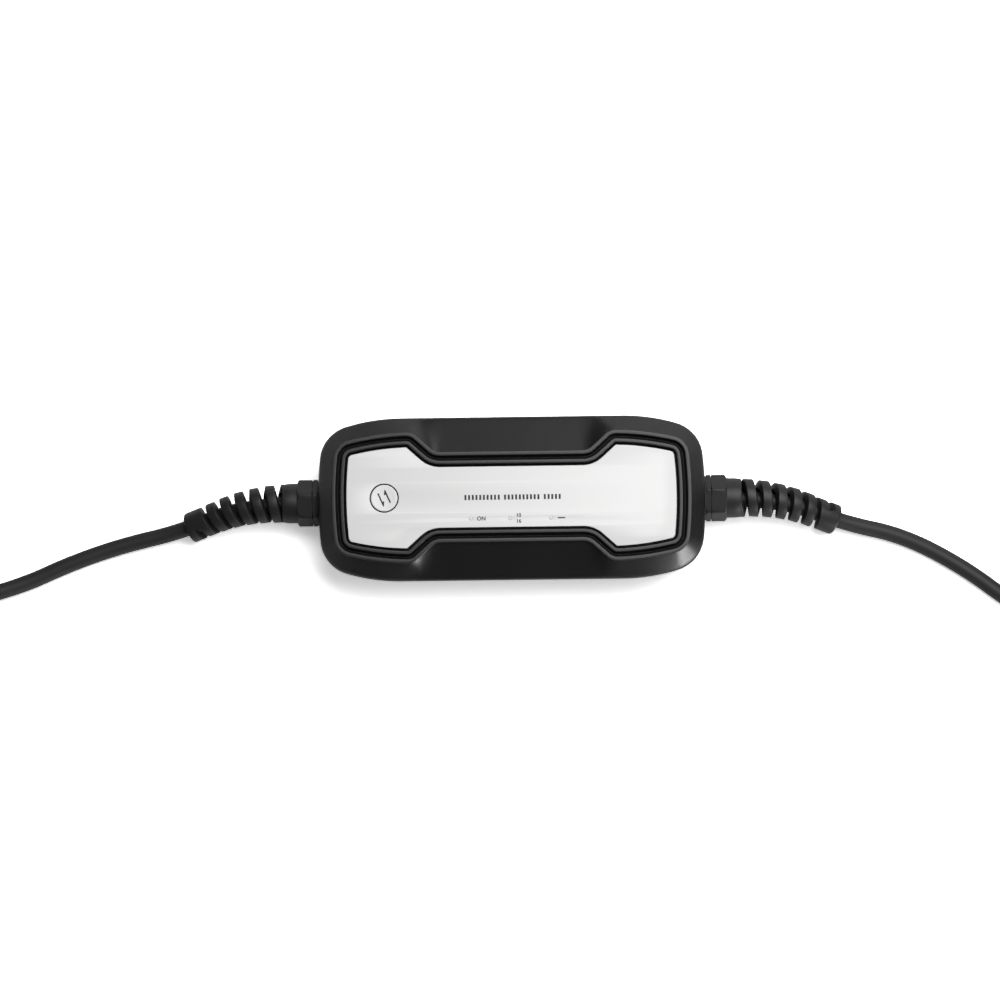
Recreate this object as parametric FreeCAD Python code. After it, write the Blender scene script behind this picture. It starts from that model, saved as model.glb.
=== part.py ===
import FreeCAD, Part
import math
import os

V = FreeCAD.Vector

# Portable electric vehicle charger: control box, two cable glands with moulded spiral reliefs,
# mains cable with its plug, charging cable with its coil and vehicle connector.
# Millimetres. +X points to the vehicle side, +Z is up, the origin is under the middle of the box.

# Housing outline seen from above, at the parting line
half_length = 126.0
half_width = 53.3
end_bow_radius = 300.0
corner_radius = 24.0
side_taper_radius = 124.0
side_taper_start = 72.0

# Housing heights and walls
parting_height = 40.0
rim_crest_height = 56.0
ridge_rise = 2.4
plate_seat_drop = 3.2
flank_top_height = rim_crest_height - ridge_rise
plate_seat_height = rim_crest_height - plate_seat_drop
deck_thickness = 2.6
wall = 2.9
floor_thickness = 3.0
draft_inset = 2.4
bottom_edge_radius = 4.5
top_edge_radius = 4.8
skirt_height = 1.6
parting_step = 0.25

# Face plate: a bone shape of two lobes and a waist
plate_half_length = 107.0
plate_end_radius = 250.0
plate_corner_radius = 3.0
lobe_half_height = 32.9
lobe_side_radius = 170.0
lobe_apex_x = 64.0
lobe_break_x = 68.4
lobe_break_radius = 1.0
waist_half_height = 19.75
shoulder_angle = 42.0
shoulder_radius = 19.0
plate_thickness = 2.0

# Double ridge round the plate, as distances from the plate's edge
plate_gap = 1.75
inner_ridge_width = 2.4
rim_groove_width = 3.0
outer_ridge_width = 2.65
ridge_overlap = 0.6
groove_dip = 0.7
moat_depth = 1.4
plate_overhang = 0.2

# Gasket in the parting line
gasket_width = 1.3
gasket_depth = 1.2
gasket_inset = 0.9

# Screws that close the housing, from below
corner_screw_x = 104.0
corner_screw_y = 36.5
side_screw_y = 45.3
post_radius = 4.7
screw_head_radius = 3.6
screw_head_height = 2.4
screw_shank_radius = 1.75
screw_seat_below_parting = 16.0
screw_head_seat = parting_height - screw_seat_below_parting
screw_length = 21.0
thread_clearance = 0.05
hole_clearance = 0.35

# Push button and its guide
button_x = -82.6
button_radius = 9.0
button_head = 2.0
button_dish = 0.6
button_clearance = 0.5
button_travel = 0.8
stem_radius = 3.0
guide_clearance = 0.08
guide_wall = 2.4
guide_length = 6.1
oring_section = 0.9
oring_drop = 3.0
clip_thickness = 0.6
clip_radius = 4.5
clip_gap = 0.35
stem_end_below_clip = 0.8

# Indicator windows
light_xs = {"power": -26.6, "current": -1.2, "fault": 25.4}
light_y = -14.2
light_radius = 1.2
light_flange_radius = 2.2
light_flange = 1.5
light_clearance = 0.08
led_radius = 1.5
led_gap = 0.3

# Indicator board under the deck
indicator_board_drop = 14.8
board_thickness = 1.6
indicator_board_x = (-98.0, 39.0)
indicator_board_half_width = 17.5
indicator_screw_xs = (-92.0, 34.5)
indicator_screw_y = 13.0
indicator_boss_radius = 3.2
small_screw_radius = 1.2
small_head_radius = 2.3
small_head_height = 1.5
small_screw_depth = 5.0

# Switch on the indicator board
switch_side = 7.0
switch_body_height = 3.8
plunger_radius = 1.75
plunger_clearance = 0.3
plunger_inside = 1.4

# Control board on the floor
board_half_length = 95.0
board_half_width = 38.0
board_corner = 6.0
standoff_height = 7.0
standoff_radius = 4.0
board_screw_x = 88.0
board_screw_y = 31.0

# Parts on the control board
terminal_pitch = 7.5
terminal_depth = 12.0
terminal_height = 14.0
terminal_face_x = 92.0
terminal_hole_radius = 2.3
terminal_hole_depth = 8.0
terminal_hole_height = 5.0
terminal_screw_radius = 2.2
fuse_place = (-68.0, -22.0)
fuse_radius = 2.6
fuse_length = 20.0
fuse_cap = 5.0
choke_place = (-56.0, 16.0)
choke_radius = 12.0
choke_hole = 5.5
choke_height = 11.0
transformer_place = (-32.0, -20.0)
transformer_plan = (34.0, 28.0)
transformer_air = 3.4
capacitor_places = ((-27.0, 16.0), (-12.0, 16.0))
capacitor_radius = 6.25
capacitor_air = 6.4
relay_plan = (12.7, 29.0)
relay_air = 13.1
relay_xs = {"live": 47.0, "neutral": 62.0}
sensor_place = (22.0, 0.0)
sensor_radius = 14.0
sensor_hole = 6.5
sensor_height = 12.0
sensor_wire_radius = 1.3
sensor_wire_spacing = 5.0
ribbon_width = 18.0
ribbon_thickness = 0.8
ribbon_x = -3.0
ribbon_slack = 6.0

# Cable glands, the same on both ends
gland_height = 23.5
seat_x = 125.9
inner_seat_x = 119.8
seat_radius = 16.4
thread_radius = 11.25
washer_thickness = 0.8
washer_radius = 14.5
hex_across_flats = 27.0
body_hex_length = 3.3
nut_gap = 0.3
nut_hex_length = 8.0
dome_length = 11.8
dome_radius = 13.0
dome_end_radius = 12.4
locknut_length = 5.0
sleeve_inside = 9.5
finger_radius = 10.3
finger_length = 10.4
seal_radius = 7.4
seal_clearance = 0.1
nut_turn = {1: -17.0, -1: 17.0}

# Spiral relief
relief_bend = 26.0
relief_fall = 42.0
relief_wound_length = 52.8
relief_ring_length = 12.5
relief_pitch = 9.65
relief_turn_start = {1: 0.0, -1: 78.0}
relief_start_radius = 12.6
relief_end_radius = 10.1
relief_start_bore = 7.6
relief_end_bore = 5.75
relief_band = 6.6
relief_edge = 0.8
relief_steps = 12
relief_root = 2.6

# Cables
cable_radius = 5.25
arc_share = 0.45
gland_run = 50.0
mains_free_points = ((-256.6, -24.6, 5.6), (-291.0, -36.0, 5.3), (-324.8, -51.2, 5.6), (-349.0, -57.5, 9.5))
charging_free_points = (
    (256.6, -24.6, 5.6),
    (297.0, -46.5, 5.3),
    (333.0, -74.5, 5.3),
    (371.0, -86.0, 5.3),
    (409.0, -88.0, 5.3),
)
core_radius = 1.8
core_orbit = 2.7
core_straight = 12.0

# Coil of the charging cable
coil_centre = (435.0, -14.5)
coil_columns = 3
coil_layers = 4
coil_mid_radius = 63.0
coil_corner = 4.5

# Tail from the coil to the vehicle connector
tail_points = (
    (459.0, -88.0, 36.75),
    (522.0, -91.0, 37.5),
    (587.0, -89.5, 41.0),
    (622.0, -54.0, 46.0),
    (622.0, -4.0, 51.0),
    (587.0, 31.0, 57.0),
)

# Vehicle connector, lying on the coil with its nose towards the box
nose_tip_x = 351.0
connector_y = 31.5
connector_axis_height = 74.2
nose_length = 34.0
nose_radius = 26.5
nose_flat = 19.0
collar_radius = 31.2
collar_length = 24.0
grip_length = 130.0
grip_drop = 14.8
grip_rear_radius = 12.0
grip_bore_depth = 30.0
pocket_clearance = 0.1
pocket_floor = 4.0
contact_bore = 3.1
contact_wall = 0.9
contact_floor = 3.0
contact_clearance = 0.05
contact_recess = 2.0
contact_depth = 24.0
power_contacts = ((0.0, 0.0), (14.2, 0.0), (-14.2, 0.0), (7.2, -13.0), (-7.2, -13.0))
pilot_contacts = ((6.8, 11.5), (-6.8, 11.5))
pilot_bore = 1.6
pilot_hole = 3.2
pilot_recess = 7.0

# Mains plug, lying on its back with the pins up
plug_centre = (-393.0, -69.0)
plug_radius = 19.5
plug_height = 36.0
plug_front_height = 17.0
plug_front_radius = 18.4
plug_neck_start = 14.0
plug_neck_height = 9.5
plug_neck_radius = 9.0
plug_neck_end_radius = 7.2
pin_radius = 2.4
pin_length = 19.0
pin_spacing = 19.0
earth_hole_radius = 2.6
earth_hole_depth = 15.0
clip_width = 5.4
clip_strip = 1.0
clip_height = 13.0


def segment(points):
    """One edge through two points as a line, or through three as an arc."""
    if len(points) == 2:
        return Part.LineSegment(*points).toShape()
    return Part.Arc(*points).toShape()


def arc_span(centre, radius, start, end):
    """Start, middle and end of an arc round a plan centre, angles in radians."""
    turns = (start, (start + end) / 2, end)
    return [(centre[0] + radius * math.cos(a), centre[1] + radius * math.sin(a)) for a in turns]


def whole_loop(quarter):
    """Mirror a quarter outline, which runs from +X round to +Y, into the full loop."""
    back = [list(reversed(span)) for span in reversed(quarter)]
    loop = [list(span) for span in quarter]
    loop += [[(-x, y) for x, y in span] for span in back]
    loop += [[(-x, -y) for x, y in span] for span in quarter]
    loop += [[(x, -y) for x, y in span] for span in back]
    return loop


def inner_circle(first_centre, first_radius, second_centre, second_radius):
    """Centre that lies at the two given distances from two centres, on the outer side."""
    gap_x = second_centre[0] - first_centre[0]
    gap_y = second_centre[1] - first_centre[1]
    gap = math.hypot(gap_x, gap_y)
    along = (gap ** 2 + first_radius ** 2 - second_radius ** 2) / (2 * gap)
    across = math.sqrt(first_radius ** 2 - along ** 2)
    foot_x = first_centre[0] + along * gap_x / gap
    foot_y = first_centre[1] + along * gap_y / gap
    sides = [(foot_x + s * across * gap_y / gap, foot_y - s * across * gap_x / gap) for s in (1, -1)]
    return max(sides)


def direction(start, end):
    """Angle of the line from one plan point to another."""
    return math.atan2(end[1] - start[1], end[0] - start[0])


def housing_loop(inset):
    """Housing outline moved inwards: bowed ends, round corners, tapering then straight sides."""
    end_centre = (half_length - end_bow_radius, 0.0)
    taper_centre = (side_taper_start, half_width - side_taper_radius)
    corner = inner_circle(
        end_centre, end_bow_radius - corner_radius, taper_centre, side_taper_radius - corner_radius
    )
    end_angle = direction(end_centre, corner)
    taper_angle = direction(taper_centre, corner)
    side = half_width - inset
    steps = shoulder_steps()
    quarter = [arc_span(end_centre, end_bow_radius - inset, 0.0, end_angle)]
    quarter.append(arc_span(corner, corner_radius - inset, end_angle, taper_angle))
    quarter.append(arc_span(taper_centre, side_taper_radius - inset, taper_angle, math.pi / 2))
    places = [side_taper_start] + [side_taper_start * step for step in steps] + [0.0]
    for start, end in zip(places, places[1:]):
        quarter.append([(start, side), (end, side)])
    return whole_loop(quarter)


def shoulder_steps():
    """Shares of the straight side that face the plate's break, its shoulder and its waist."""
    span = lobe_break_x + waist_half_height / 2
    waist_end = lobe_break_x - (lobe_half_height - waist_half_height) / math.tan(math.radians(30))
    middle = (lobe_break_x + waist_end) / 2
    return ((lobe_break_x - outer_ridge_width) / span, middle / span, waist_end / span)


def bone_loop(outset):
    """Face plate outline moved outwards: two lobes joined by a waist, every arc on a fixed centre."""
    turn = math.radians(shoulder_angle)
    end_centre = (plate_half_length - plate_end_radius, 0.0)
    side_centre = (lobe_apex_x, lobe_half_height - lobe_side_radius)
    corner = inner_circle(
        end_centre,
        plate_end_radius - plate_corner_radius,
        side_centre,
        lobe_side_radius - plate_corner_radius,
    )
    end_angle = direction(end_centre, corner)
    side_angle = direction(side_centre, corner)
    break_angle = math.acos((lobe_break_x - lobe_apex_x) / lobe_side_radius)
    break_reach = lobe_side_radius - lobe_break_radius
    break_centre = (
        side_centre[0] + break_reach * math.cos(break_angle),
        side_centre[1] + break_reach * math.sin(break_angle),
    )
    normal = (-math.sin(turn), math.cos(turn))
    line_reach = normal[0] * break_centre[0] + normal[1] * break_centre[1] + lobe_break_radius
    shoulder_y = waist_half_height + shoulder_radius
    shoulder_x = (math.cos(turn) * shoulder_y - line_reach - shoulder_radius) / math.sin(turn)
    shoulder = (shoulder_x, shoulder_y)
    quarter = [arc_span(end_centre, plate_end_radius + outset, 0.0, end_angle)]
    quarter.append(arc_span(corner, plate_corner_radius + outset, end_angle, side_angle))
    quarter.append(arc_span(side_centre, lobe_side_radius + outset, side_angle, break_angle))
    fillet = arc_span(break_centre, lobe_break_radius + outset, break_angle, turn + math.pi / 2)
    hollow = arc_span(shoulder, shoulder_radius - outset, turn - math.pi / 2, -math.pi / 2)
    quarter.append(fillet)
    quarter.append([fillet[-1], hollow[0]])
    quarter.append(hollow)
    quarter.append([hollow[-1], (0.0, waist_half_height + outset)])
    return whole_loop(quarter)


def level(loop, height):
    """Closed wire of a plan loop at a height."""
    return Part.Wire([segment([V(x, y, height) for x, y in span]) for span in loop])


def solid_from(faces):
    """Closed solid from faces that meet along their edges."""
    skin = Part.makeCompound(faces)
    skin.sewShape()
    body = Part.makeSolid(skin.Shells[0])
    if body.Volume < 0:
        body.reverse()
    return body


def stack(levels):
    """Solid through outlines at rising heights, closed by flat faces."""
    wires = [level(loop, height) for loop, height in levels]
    faces = [Part.Face(wires[0]), Part.Face(wires[-1])]
    for lower, upper in zip(wires, wires[1:]):
        faces += Part.makeRuledSurface(lower, upper).Faces
    return solid_from(faces)


def ring_of(levels):
    """Closed ring through outlines that come back to the first."""
    wires = [level(loop, height) for loop, height in levels]
    faces = []
    for here, there in zip(wires, wires[1:] + wires[:1]):
        faces += Part.makeRuledSurface(here, there).Faces
    return solid_from(faces)


def turned(profile, turn=360):
    """Solid of revolution about local Z from (radius, height) corners."""
    corners = [V(radius, 0, height) for radius, height in profile]
    face = Part.Face(Part.makePolygon(corners + corners[:1]))
    return face.revolve(V(0, 0, 0), V(0, 0, 1), turn)


def rod(x, y, low, high, radius):
    """Upright cylinder between two heights."""
    return Part.makeCylinder(radius, high - low, V(x, y, low))


def block(x, y, low, size):
    """Box centred on a plan point, standing on a height."""
    return Part.makeBox(size[0], size[1], size[2], V(x - size[0] / 2, y - size[1] / 2, low))


def rounded_block(x, y, low, size, radius):
    """Box with its upright edges rounded."""
    body = block(x, y, low, size)
    upright = [e for e in body.Edges if abs(e.tangentAt(e.FirstParameter).z) > 0.9]
    return body.makeFillet(radius, upright)


def hexagon(across_flats, low, high, chamfer, turn=0.0):
    """Hexagonal prism on local Z with its corners chamfered as on a turned nut."""
    reach = across_flats / math.sqrt(3)
    angles = [math.radians(60 * i + turn) for i in range(7)]
    corners = [V(reach * math.cos(a), reach * math.sin(a), low) for a in angles]
    prism = Part.Face(Part.makePolygon(corners)).extrude(V(0, 0, high - low))
    inner = across_flats / 2
    skin = [(0, low), (inner, low), (reach, low + chamfer), (reach, high - chamfer), (inner, high), (0, high)]
    return prism.common(turned(skin))


def placed(shape, side):
    """Turn a part built along local Z so that it points out of one end of the box."""
    base = V(side * seat_x, 0, gland_height)
    frame = FreeCAD.Placement(base, FreeCAD.Rotation(V(0, 0, 1), V(side, 0, 0)))
    shape.Placement = frame.multiply(shape.Placement)
    return shape


def screw_places():
    """Plan places of the six screws that close the housing."""
    corners = [(sx * corner_screw_x, sy * corner_screw_y) for sx in (1, -1) for sy in (1, -1)]
    return corners + [(0.0, side_screw_y), (0.0, -side_screw_y)]


def indicator_screw_places():
    """Plan places of the indicator board's four screws."""
    return [(x, sy * indicator_screw_y) for x in indicator_screw_xs for sy in (1, -1)]


def rim_outset():
    """Distance from the plate's edge to the foot of the outer ridge."""
    return plate_gap + inner_ridge_width + rim_groove_width + outer_ridge_width


def ridge(start, width):
    """Levels over one rounded ridge, from its inner foot to its outer foot."""
    middle = start + width / 2
    rounding = ((0.5, 0.0), (0.44, 0.55), (0.34, 0.9), (0.2, 1.0))
    shares = [(-s, h) for s, h in rounding] + [(s, h) for s, h in reversed(rounding)]
    return [(bone_loop(middle + s * width), flank_top_height + ridge_rise * h) for s, h in shares]


def deck_underside():
    return plate_seat_height - deck_thickness


def cover_ring():
    """Skirt, flank and double ridge as one ring, with the inner wall following the flank."""
    foot = rim_outset()
    edge = top_edge_radius
    skirt_top = parting_height + skirt_height
    inner_foot = foot - 2.0
    levels = [(housing_loop(0.0), parting_height), (housing_loop(0.0), skirt_top)]
    levels.append((housing_loop(edge * 0.1), skirt_top + edge * 0.37))
    levels.append((housing_loop(edge * 0.35), skirt_top + edge * 0.68))
    levels += reversed(ridge(foot - outer_ridge_width, outer_ridge_width))
    groove_middle = plate_gap + inner_ridge_width + rim_groove_width / 2
    levels.append((bone_loop(groove_middle), flank_top_height - groove_dip))
    levels += reversed(ridge(plate_gap, inner_ridge_width))
    levels.append((bone_loop(plate_gap), deck_underside()))
    levels.append((bone_loop(inner_foot), deck_underside()))
    levels.append((housing_loop(edge * 0.35 + wall * 0.66), skirt_top + edge * 0.68 - wall * 0.66))
    levels.append((housing_loop(wall), skirt_top))
    levels.append((housing_loop(wall), parting_height))
    return ring_of(levels)


def guide_levels():
    """Heights of the button's guide: recess floor and lower end."""
    recess = plate_seat_height - button_travel - 0.5
    return recess, recess - guide_length


def cover():
    """Upper shell with plate deck, button guide, light openings, bosses and screw bores."""
    deck = stack([
        (bone_loop(plate_gap + ridge_overlap), deck_underside()),
        (bone_loop(plate_gap + ridge_overlap), plate_seat_height - moat_depth),
        (bone_loop(-plate_overhang), plate_seat_height - moat_depth),
        (bone_loop(-plate_overhang), plate_seat_height),
    ])
    body = cover_ring().fuse(deck)
    recess, guide_end = guide_levels()
    body = body.fuse(rod(button_x, 0, guide_end, recess, stem_radius + guide_clearance + guide_wall))
    for x, y in indicator_screw_places():
        body = body.fuse(rod(x, y, indicator_board_top(), deck_underside() + 0.5, indicator_boss_radius))
    inside = stack([
        (housing_loop(0.6), parting_height),
        (housing_loop(0.6), parting_height + skirt_height),
        (housing_loop(top_edge_radius * 0.35 + 0.6), parting_height + skirt_height + top_edge_radius * 0.6),
        (bone_loop(rim_outset() - 1.0), flank_top_height - 0.6),
    ])
    posts = [rod(x, y, parting_height, flank_top_height, post_radius) for x, y in screw_places()]
    body = body.fuse([post.common(inside) for post in posts])
    tools = [rod(button_x, 0, recess, plate_seat_height + 1, button_radius + button_clearance)]
    tools.append(rod(button_x, 0, guide_end - 1, recess + 1, stem_radius + guide_clearance))
    light_hole = light_radius + light_clearance
    for x in light_xs.values():
        tools.append(rod(x, light_y, deck_underside() - 1, plate_seat_height + 1, light_hole))
    for x, y in screw_places():
        top = screw_head_seat + screw_length + 0.2
        tools.append(rod(x, y, parting_height - 1, top, screw_shank_radius + thread_clearance))
    for x, y in indicator_screw_places():
        low = indicator_board_top()
        tools.append(rod(x, y, low - 1, low + small_screw_depth + 0.2, small_screw_radius + thread_clearance))
    return body.cut(tools)


def base():
    """Lower shell: drafted walls, gasket groove, flat gland seats, screw posts and standoffs."""
    edge = bottom_edge_radius
    foot = parting_step + draft_inset
    body = stack([
        (housing_loop(foot + edge), 0.0),
        (housing_loop(foot + edge * 0.45), edge * 0.12),
        (housing_loop(foot + edge * 0.13), edge * 0.45),
        (housing_loop(foot), edge),
        (housing_loop(parting_step), parting_height),
    ])
    cavity = stack([
        (housing_loop(foot + wall), floor_thickness),
        (housing_loop(parting_step + wall), parting_height + 1),
    ])
    body = body.cut(cavity)
    for side in (1, -1):
        start = V(side * inner_seat_x, 0, gland_height)
        body = body.fuse(Part.makeCylinder(seat_radius, seat_x - inner_seat_x, start, V(side, 0, 0)))
    low, high = parting_height - gasket_depth, parting_height + 1
    near, far = housing_loop(gasket_inset), housing_loop(gasket_inset + gasket_width)
    body = body.cut(stack([(near, low), (near, high)]).cut(stack([(far, low), (far, high)])))
    inside = stack([
        (housing_loop(foot + wall / 2), 1.0),
        (housing_loop(gasket_inset + gasket_width + 0.2), parting_height),
    ])
    posts = [rod(x, y, 1.0, parting_height, post_radius).common(inside) for x, y in screw_places()]
    for x in (board_screw_x, -board_screw_x):
        for y in (board_screw_y, -board_screw_y):
            posts.append(rod(x, y, 1.0, floor_thickness + standoff_height, standoff_radius))
    body = body.fuse(posts)
    tools = []
    for x, y in screw_places():
        tools.append(rod(x, y, -1, screw_head_seat, screw_head_radius + hole_clearance))
        tools.append(rod(x, y, 0, parting_height + 1, screw_shank_radius + hole_clearance))
    for x in (board_screw_x, -board_screw_x):
        for y in (board_screw_y, -board_screw_y):
            low = board_bottom() - small_screw_depth
            tools.append(rod(x, y, low, board_bottom() + 1, small_screw_radius + thread_clearance))
    start = V(-seat_x - 1, 0, gland_height)
    tools.append(Part.makeCylinder(thread_radius + 0.15, 2 * seat_x + 2, start, V(1, 0, 0)))
    return body.cut(tools)


def housing_gasket():
    """Rubber cord lying in the groove of the parting line."""
    low = parting_height - gasket_depth
    near, far = gasket_inset + 0.05, gasket_inset + gasket_width - 0.05
    return ring_of([
        (housing_loop(near), low),
        (housing_loop(near), parting_height),
        (housing_loop(far), parting_height),
        (housing_loop(far), low),
    ])


def face_plate():
    """Flat bone-shaped plate with the button hole and three light openings."""
    top = plate_top()
    body = stack([
        (bone_loop(0.0), plate_seat_height),
        (bone_loop(0.0), top - 0.3),
        (bone_loop(-0.25), top),
    ])
    tools = [rod(button_x, 0, plate_seat_height - 1, top + 1, button_radius + button_clearance)]
    for x in light_xs.values():
        tools.append(rod(x, light_y, plate_seat_height - 1, top + 1, light_radius + light_clearance))
    return body.cut(tools)


def plate_top():
    return plate_seat_height + plate_thickness


def light_pipe(x):
    """Clear pin with a flange against the underside of the deck."""
    under = deck_underside()
    stem = rod(x, light_y, under, plate_top(), light_radius)
    return stem.fuse(rod(x, light_y, under - light_flange, under, light_flange_radius))


def housing_screws():
    """Six pan-head screws, heads up inside the recesses of the base."""
    screws = []
    for x, y in screw_places():
        low = screw_head_seat - screw_head_height
        head = turned([
            (0, low), (screw_head_radius * 0.7, low), (screw_head_radius, low + screw_head_height * 0.4),
            (screw_head_radius, screw_head_seat), (screw_shank_radius, screw_head_seat),
            (screw_shank_radius, screw_head_seat + screw_length - 1.5), (0, screw_head_seat + screw_length),
        ])
        slot = [block(x, y, low - 0.1, (screw_head_radius * 1.1, 0.9, 1.3)),
                block(x, y, low - 0.1, (0.9, screw_head_radius * 1.1, 1.3))]
        head.translate(V(x, y, 0))
        screws.append(head.cut(slot))
    return screws


def small_screws(places, seat, into):
    """Board screws: pan heads against the board face at a height, shanks pointing up or down."""
    screws = []
    for x, y in places:
        screw = turned([
            (0, small_head_height), (small_head_radius * 0.7, small_head_height), (small_head_radius, 0.6),
            (small_head_radius, 0), (small_screw_radius, 0),
            (small_screw_radius, -board_thickness - small_screw_depth + 0.4),
            (0, -board_thickness - small_screw_depth + 0.2),
        ])
        if into > 0:
            screw.rotate(V(0, 0, 0), V(1, 0, 0), 180)
        screw.translate(V(x, y, seat))
        screws.append(screw)
    return screws


def button_cap():
    """Dished round head on a stem with grooves for the O-ring and the retaining clip."""
    top = plate_top()
    under = top - button_head
    recess, guide_end = guide_levels()
    clip_top = guide_end - clip_gap
    clip_low = clip_top - clip_thickness
    ring_top = recess - oring_drop
    groove = oring_reach() - oring_section / 2 - 0.02
    low = stem_end()
    return turned([
        (0, top - button_dish), (button_radius * 0.45, top - button_dish * 0.82),
        (button_radius * 0.8, top - button_dish * 0.36), (button_radius - 0.7, top),
        (button_radius - 0.2, top - 0.1), (button_radius, top - 0.5), (button_radius, under),
        (stem_radius, under), (stem_radius, ring_top), (groove, ring_top),
        (groove, ring_top - oring_section - 0.2), (stem_radius, ring_top - oring_section - 0.2),
        (stem_radius, clip_top), (stem_radius - 0.8, clip_top), (stem_radius - 0.8, clip_low),
        (stem_radius, clip_low), (stem_radius, low), (0, low),
    ])


def stem_end():
    """Height of the stem's lower end, where it meets the plunger."""
    guide_end = guide_levels()[1]
    return guide_end - clip_gap - clip_thickness - stem_end_below_clip


def oring_reach():
    """Radius of the O-ring's middle, just clear of the guide's bore."""
    return stem_radius + guide_clearance - 0.03 - oring_section / 2


def button_o_ring():
    """Rubber ring in the stem's upper groove."""
    recess = guide_levels()[0]
    middle = recess - oring_drop - 0.1 - oring_section / 2
    return Part.makeTorus(oring_reach(), oring_section / 2, V(0, 0, middle))


def button_clip():
    """Open spring clip in the stem's lower groove, under the guide."""
    top = guide_levels()[1] - clip_gap
    body = rod(0, 0, top - clip_thickness, top, clip_radius)
    body = body.cut(rod(0, 0, top - 2, top + 1, stem_radius - 0.75))
    return body.cut(block(clip_radius, 0, top - 2, (clip_radius * 2, 3.2, 4)))


def tact_switch_body():
    """Switch housing on the indicator board with the plunger's well."""
    low = indicator_board_top()
    body = block(0, 0, low, (switch_side, switch_side, switch_body_height))
    upright = [e for e in body.Edges if abs(e.tangentAt(e.FirstParameter).z) > 0.9]
    body = body.makeChamfer(0.6, upright)
    depth = plunger_inside + button_travel + 0.3
    top = low + switch_body_height
    return body.cut(rod(0, 0, top - depth, top + 1, plunger_radius + plunger_clearance))


def tact_switch_plunger():
    """Round actuator between the switch and the stem."""
    top = indicator_board_top() + switch_body_height
    body = rod(0, 0, top - plunger_inside, stem_end(), plunger_radius)
    rim = [e for e in body.Edges if e.BoundBox.ZMin > stem_end() - 0.01]
    return body.makeChamfer(0.25, rim)


def indicator_board_top():
    return plate_seat_height - indicator_board_drop


def indicator_board():
    """Board under the deck for the switch and the indicator lamps."""
    low = indicator_board_top() - board_thickness
    left, right = indicator_board_x
    size = (right - left, 2 * indicator_board_half_width, board_thickness)
    body = rounded_block((left + right) / 2, 0, low, size, 3.0)
    holes = [rod(x, y, low - 1, low + 3, small_screw_radius + 0.2) for x, y in indicator_screw_places()]
    return body.cut(holes)


def indicator_leds():
    """Three domed lamps standing on the indicator board under the light pipes."""
    lamps = []
    low = indicator_board_top()
    top = deck_underside() - light_flange - led_gap
    for x in light_xs.values():
        lamp = turned([
            (0, low), (led_radius + 0.35, low), (led_radius + 0.35, low + 1), (led_radius, low + 1),
            (led_radius, top - 1.2), (led_radius * 0.8, top - 0.4), (0.4, top), (0, top),
        ])
        lamp.translate(V(x, light_y, 0))
        lamps.append(lamp)
    return lamps


def board_bottom():
    return floor_thickness + standoff_height


def board_top():
    return board_bottom() + board_thickness


def room_under_indicators():
    """Height between the control board and the indicator board."""
    return indicator_board_top() - board_thickness - board_top()


def board_screw_places():
    return [(sx * board_screw_x, sy * board_screw_y) for sx in (1, -1) for sy in (1, -1)]


def control_board():
    """Main board on the four standoffs, with rounded corners and screw holes."""
    size = (2 * board_half_length, 2 * board_half_width, board_thickness)
    body = rounded_block(0, 0, board_bottom(), size, board_corner)
    low = board_bottom() - 1
    return body.cut([rod(x, y, low, low + 4, small_screw_radius + 0.2) for x, y in board_screw_places()])


def way_ys(ways):
    """Places of a terminal block's ways across the board."""
    return [(i - (ways - 1) / 2) * terminal_pitch for i in range(ways)]


def terminal_block(side, ways):
    """Screw terminal block at one end of the board, wire holes towards the gland."""
    width = ways * terminal_pitch
    x = side * (terminal_face_x - terminal_depth / 2)
    low = board_top()
    body = block(x, 0, low, (terminal_depth, width, terminal_height))
    slope = Part.makePolygon([
        V(-terminal_depth, 0, terminal_height * 0.62), V(-terminal_depth / 2 + 3.5, 0, terminal_height + 1),
        V(-terminal_depth, 0, terminal_height + 1), V(-terminal_depth, 0, terminal_height * 0.62),
    ])
    wedge = Part.Face(slope).extrude(V(0, width + 2, 0))
    wedge.translate(V(0, -width / 2 - 1, low))
    if side > 0:
        wedge.rotate(V(0, 0, 0), V(0, 0, 1), 180)
    wedge.translate(V(x, 0, 0))
    tools = [wedge]
    hole_z = low + terminal_hole_height
    for y in way_ys(ways):
        start = V(side * (terminal_face_x + 1), y, hole_z)
        tools.append(Part.makeCylinder(terminal_hole_radius, terminal_hole_depth + 1, start, V(-side, 0, 0)))
        screw_top = low + terminal_height + 1
        tools.append(rod(x - side, y, screw_top - 3.5, screw_top, terminal_screw_radius))
    return body.cut(tools)


def mains_fuse():
    """Glass fuse with two metal caps lying on its clips, as one bought part."""
    x, y = fuse_place
    axis_z = board_top() + fuse_radius + 1.2
    low = x - fuse_length / 2
    body = Part.makeCylinder(fuse_radius - 0.3, fuse_length, V(low, y, axis_z), V(1, 0, 0))
    for start in (low, low + fuse_length - fuse_cap):
        body = body.fuse(Part.makeCylinder(fuse_radius, fuse_cap, V(start, y, axis_z), V(1, 0, 0)))
        foot = (fuse_cap - 1.5, fuse_radius * 2, fuse_radius + 1.2)
        body = body.fuse(block(start + fuse_cap / 2, y, board_top(), foot))
    return body


def ring_coil(x, y, radius, hole, height):
    """Wound ring lying flat on the board, with rounded edges."""
    low, top = board_top(), board_top() + height
    body = turned([
        (hole, low + 1.5), (hole + 1.5, low), (radius - 1.5, low), (radius, low + 1.5),
        (radius, top - 1.5), (radius - 1.5, top), (hole + 1.5, top), (hole, top - 1.5),
    ])
    body.translate(V(x, y, 0))
    return body


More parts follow.
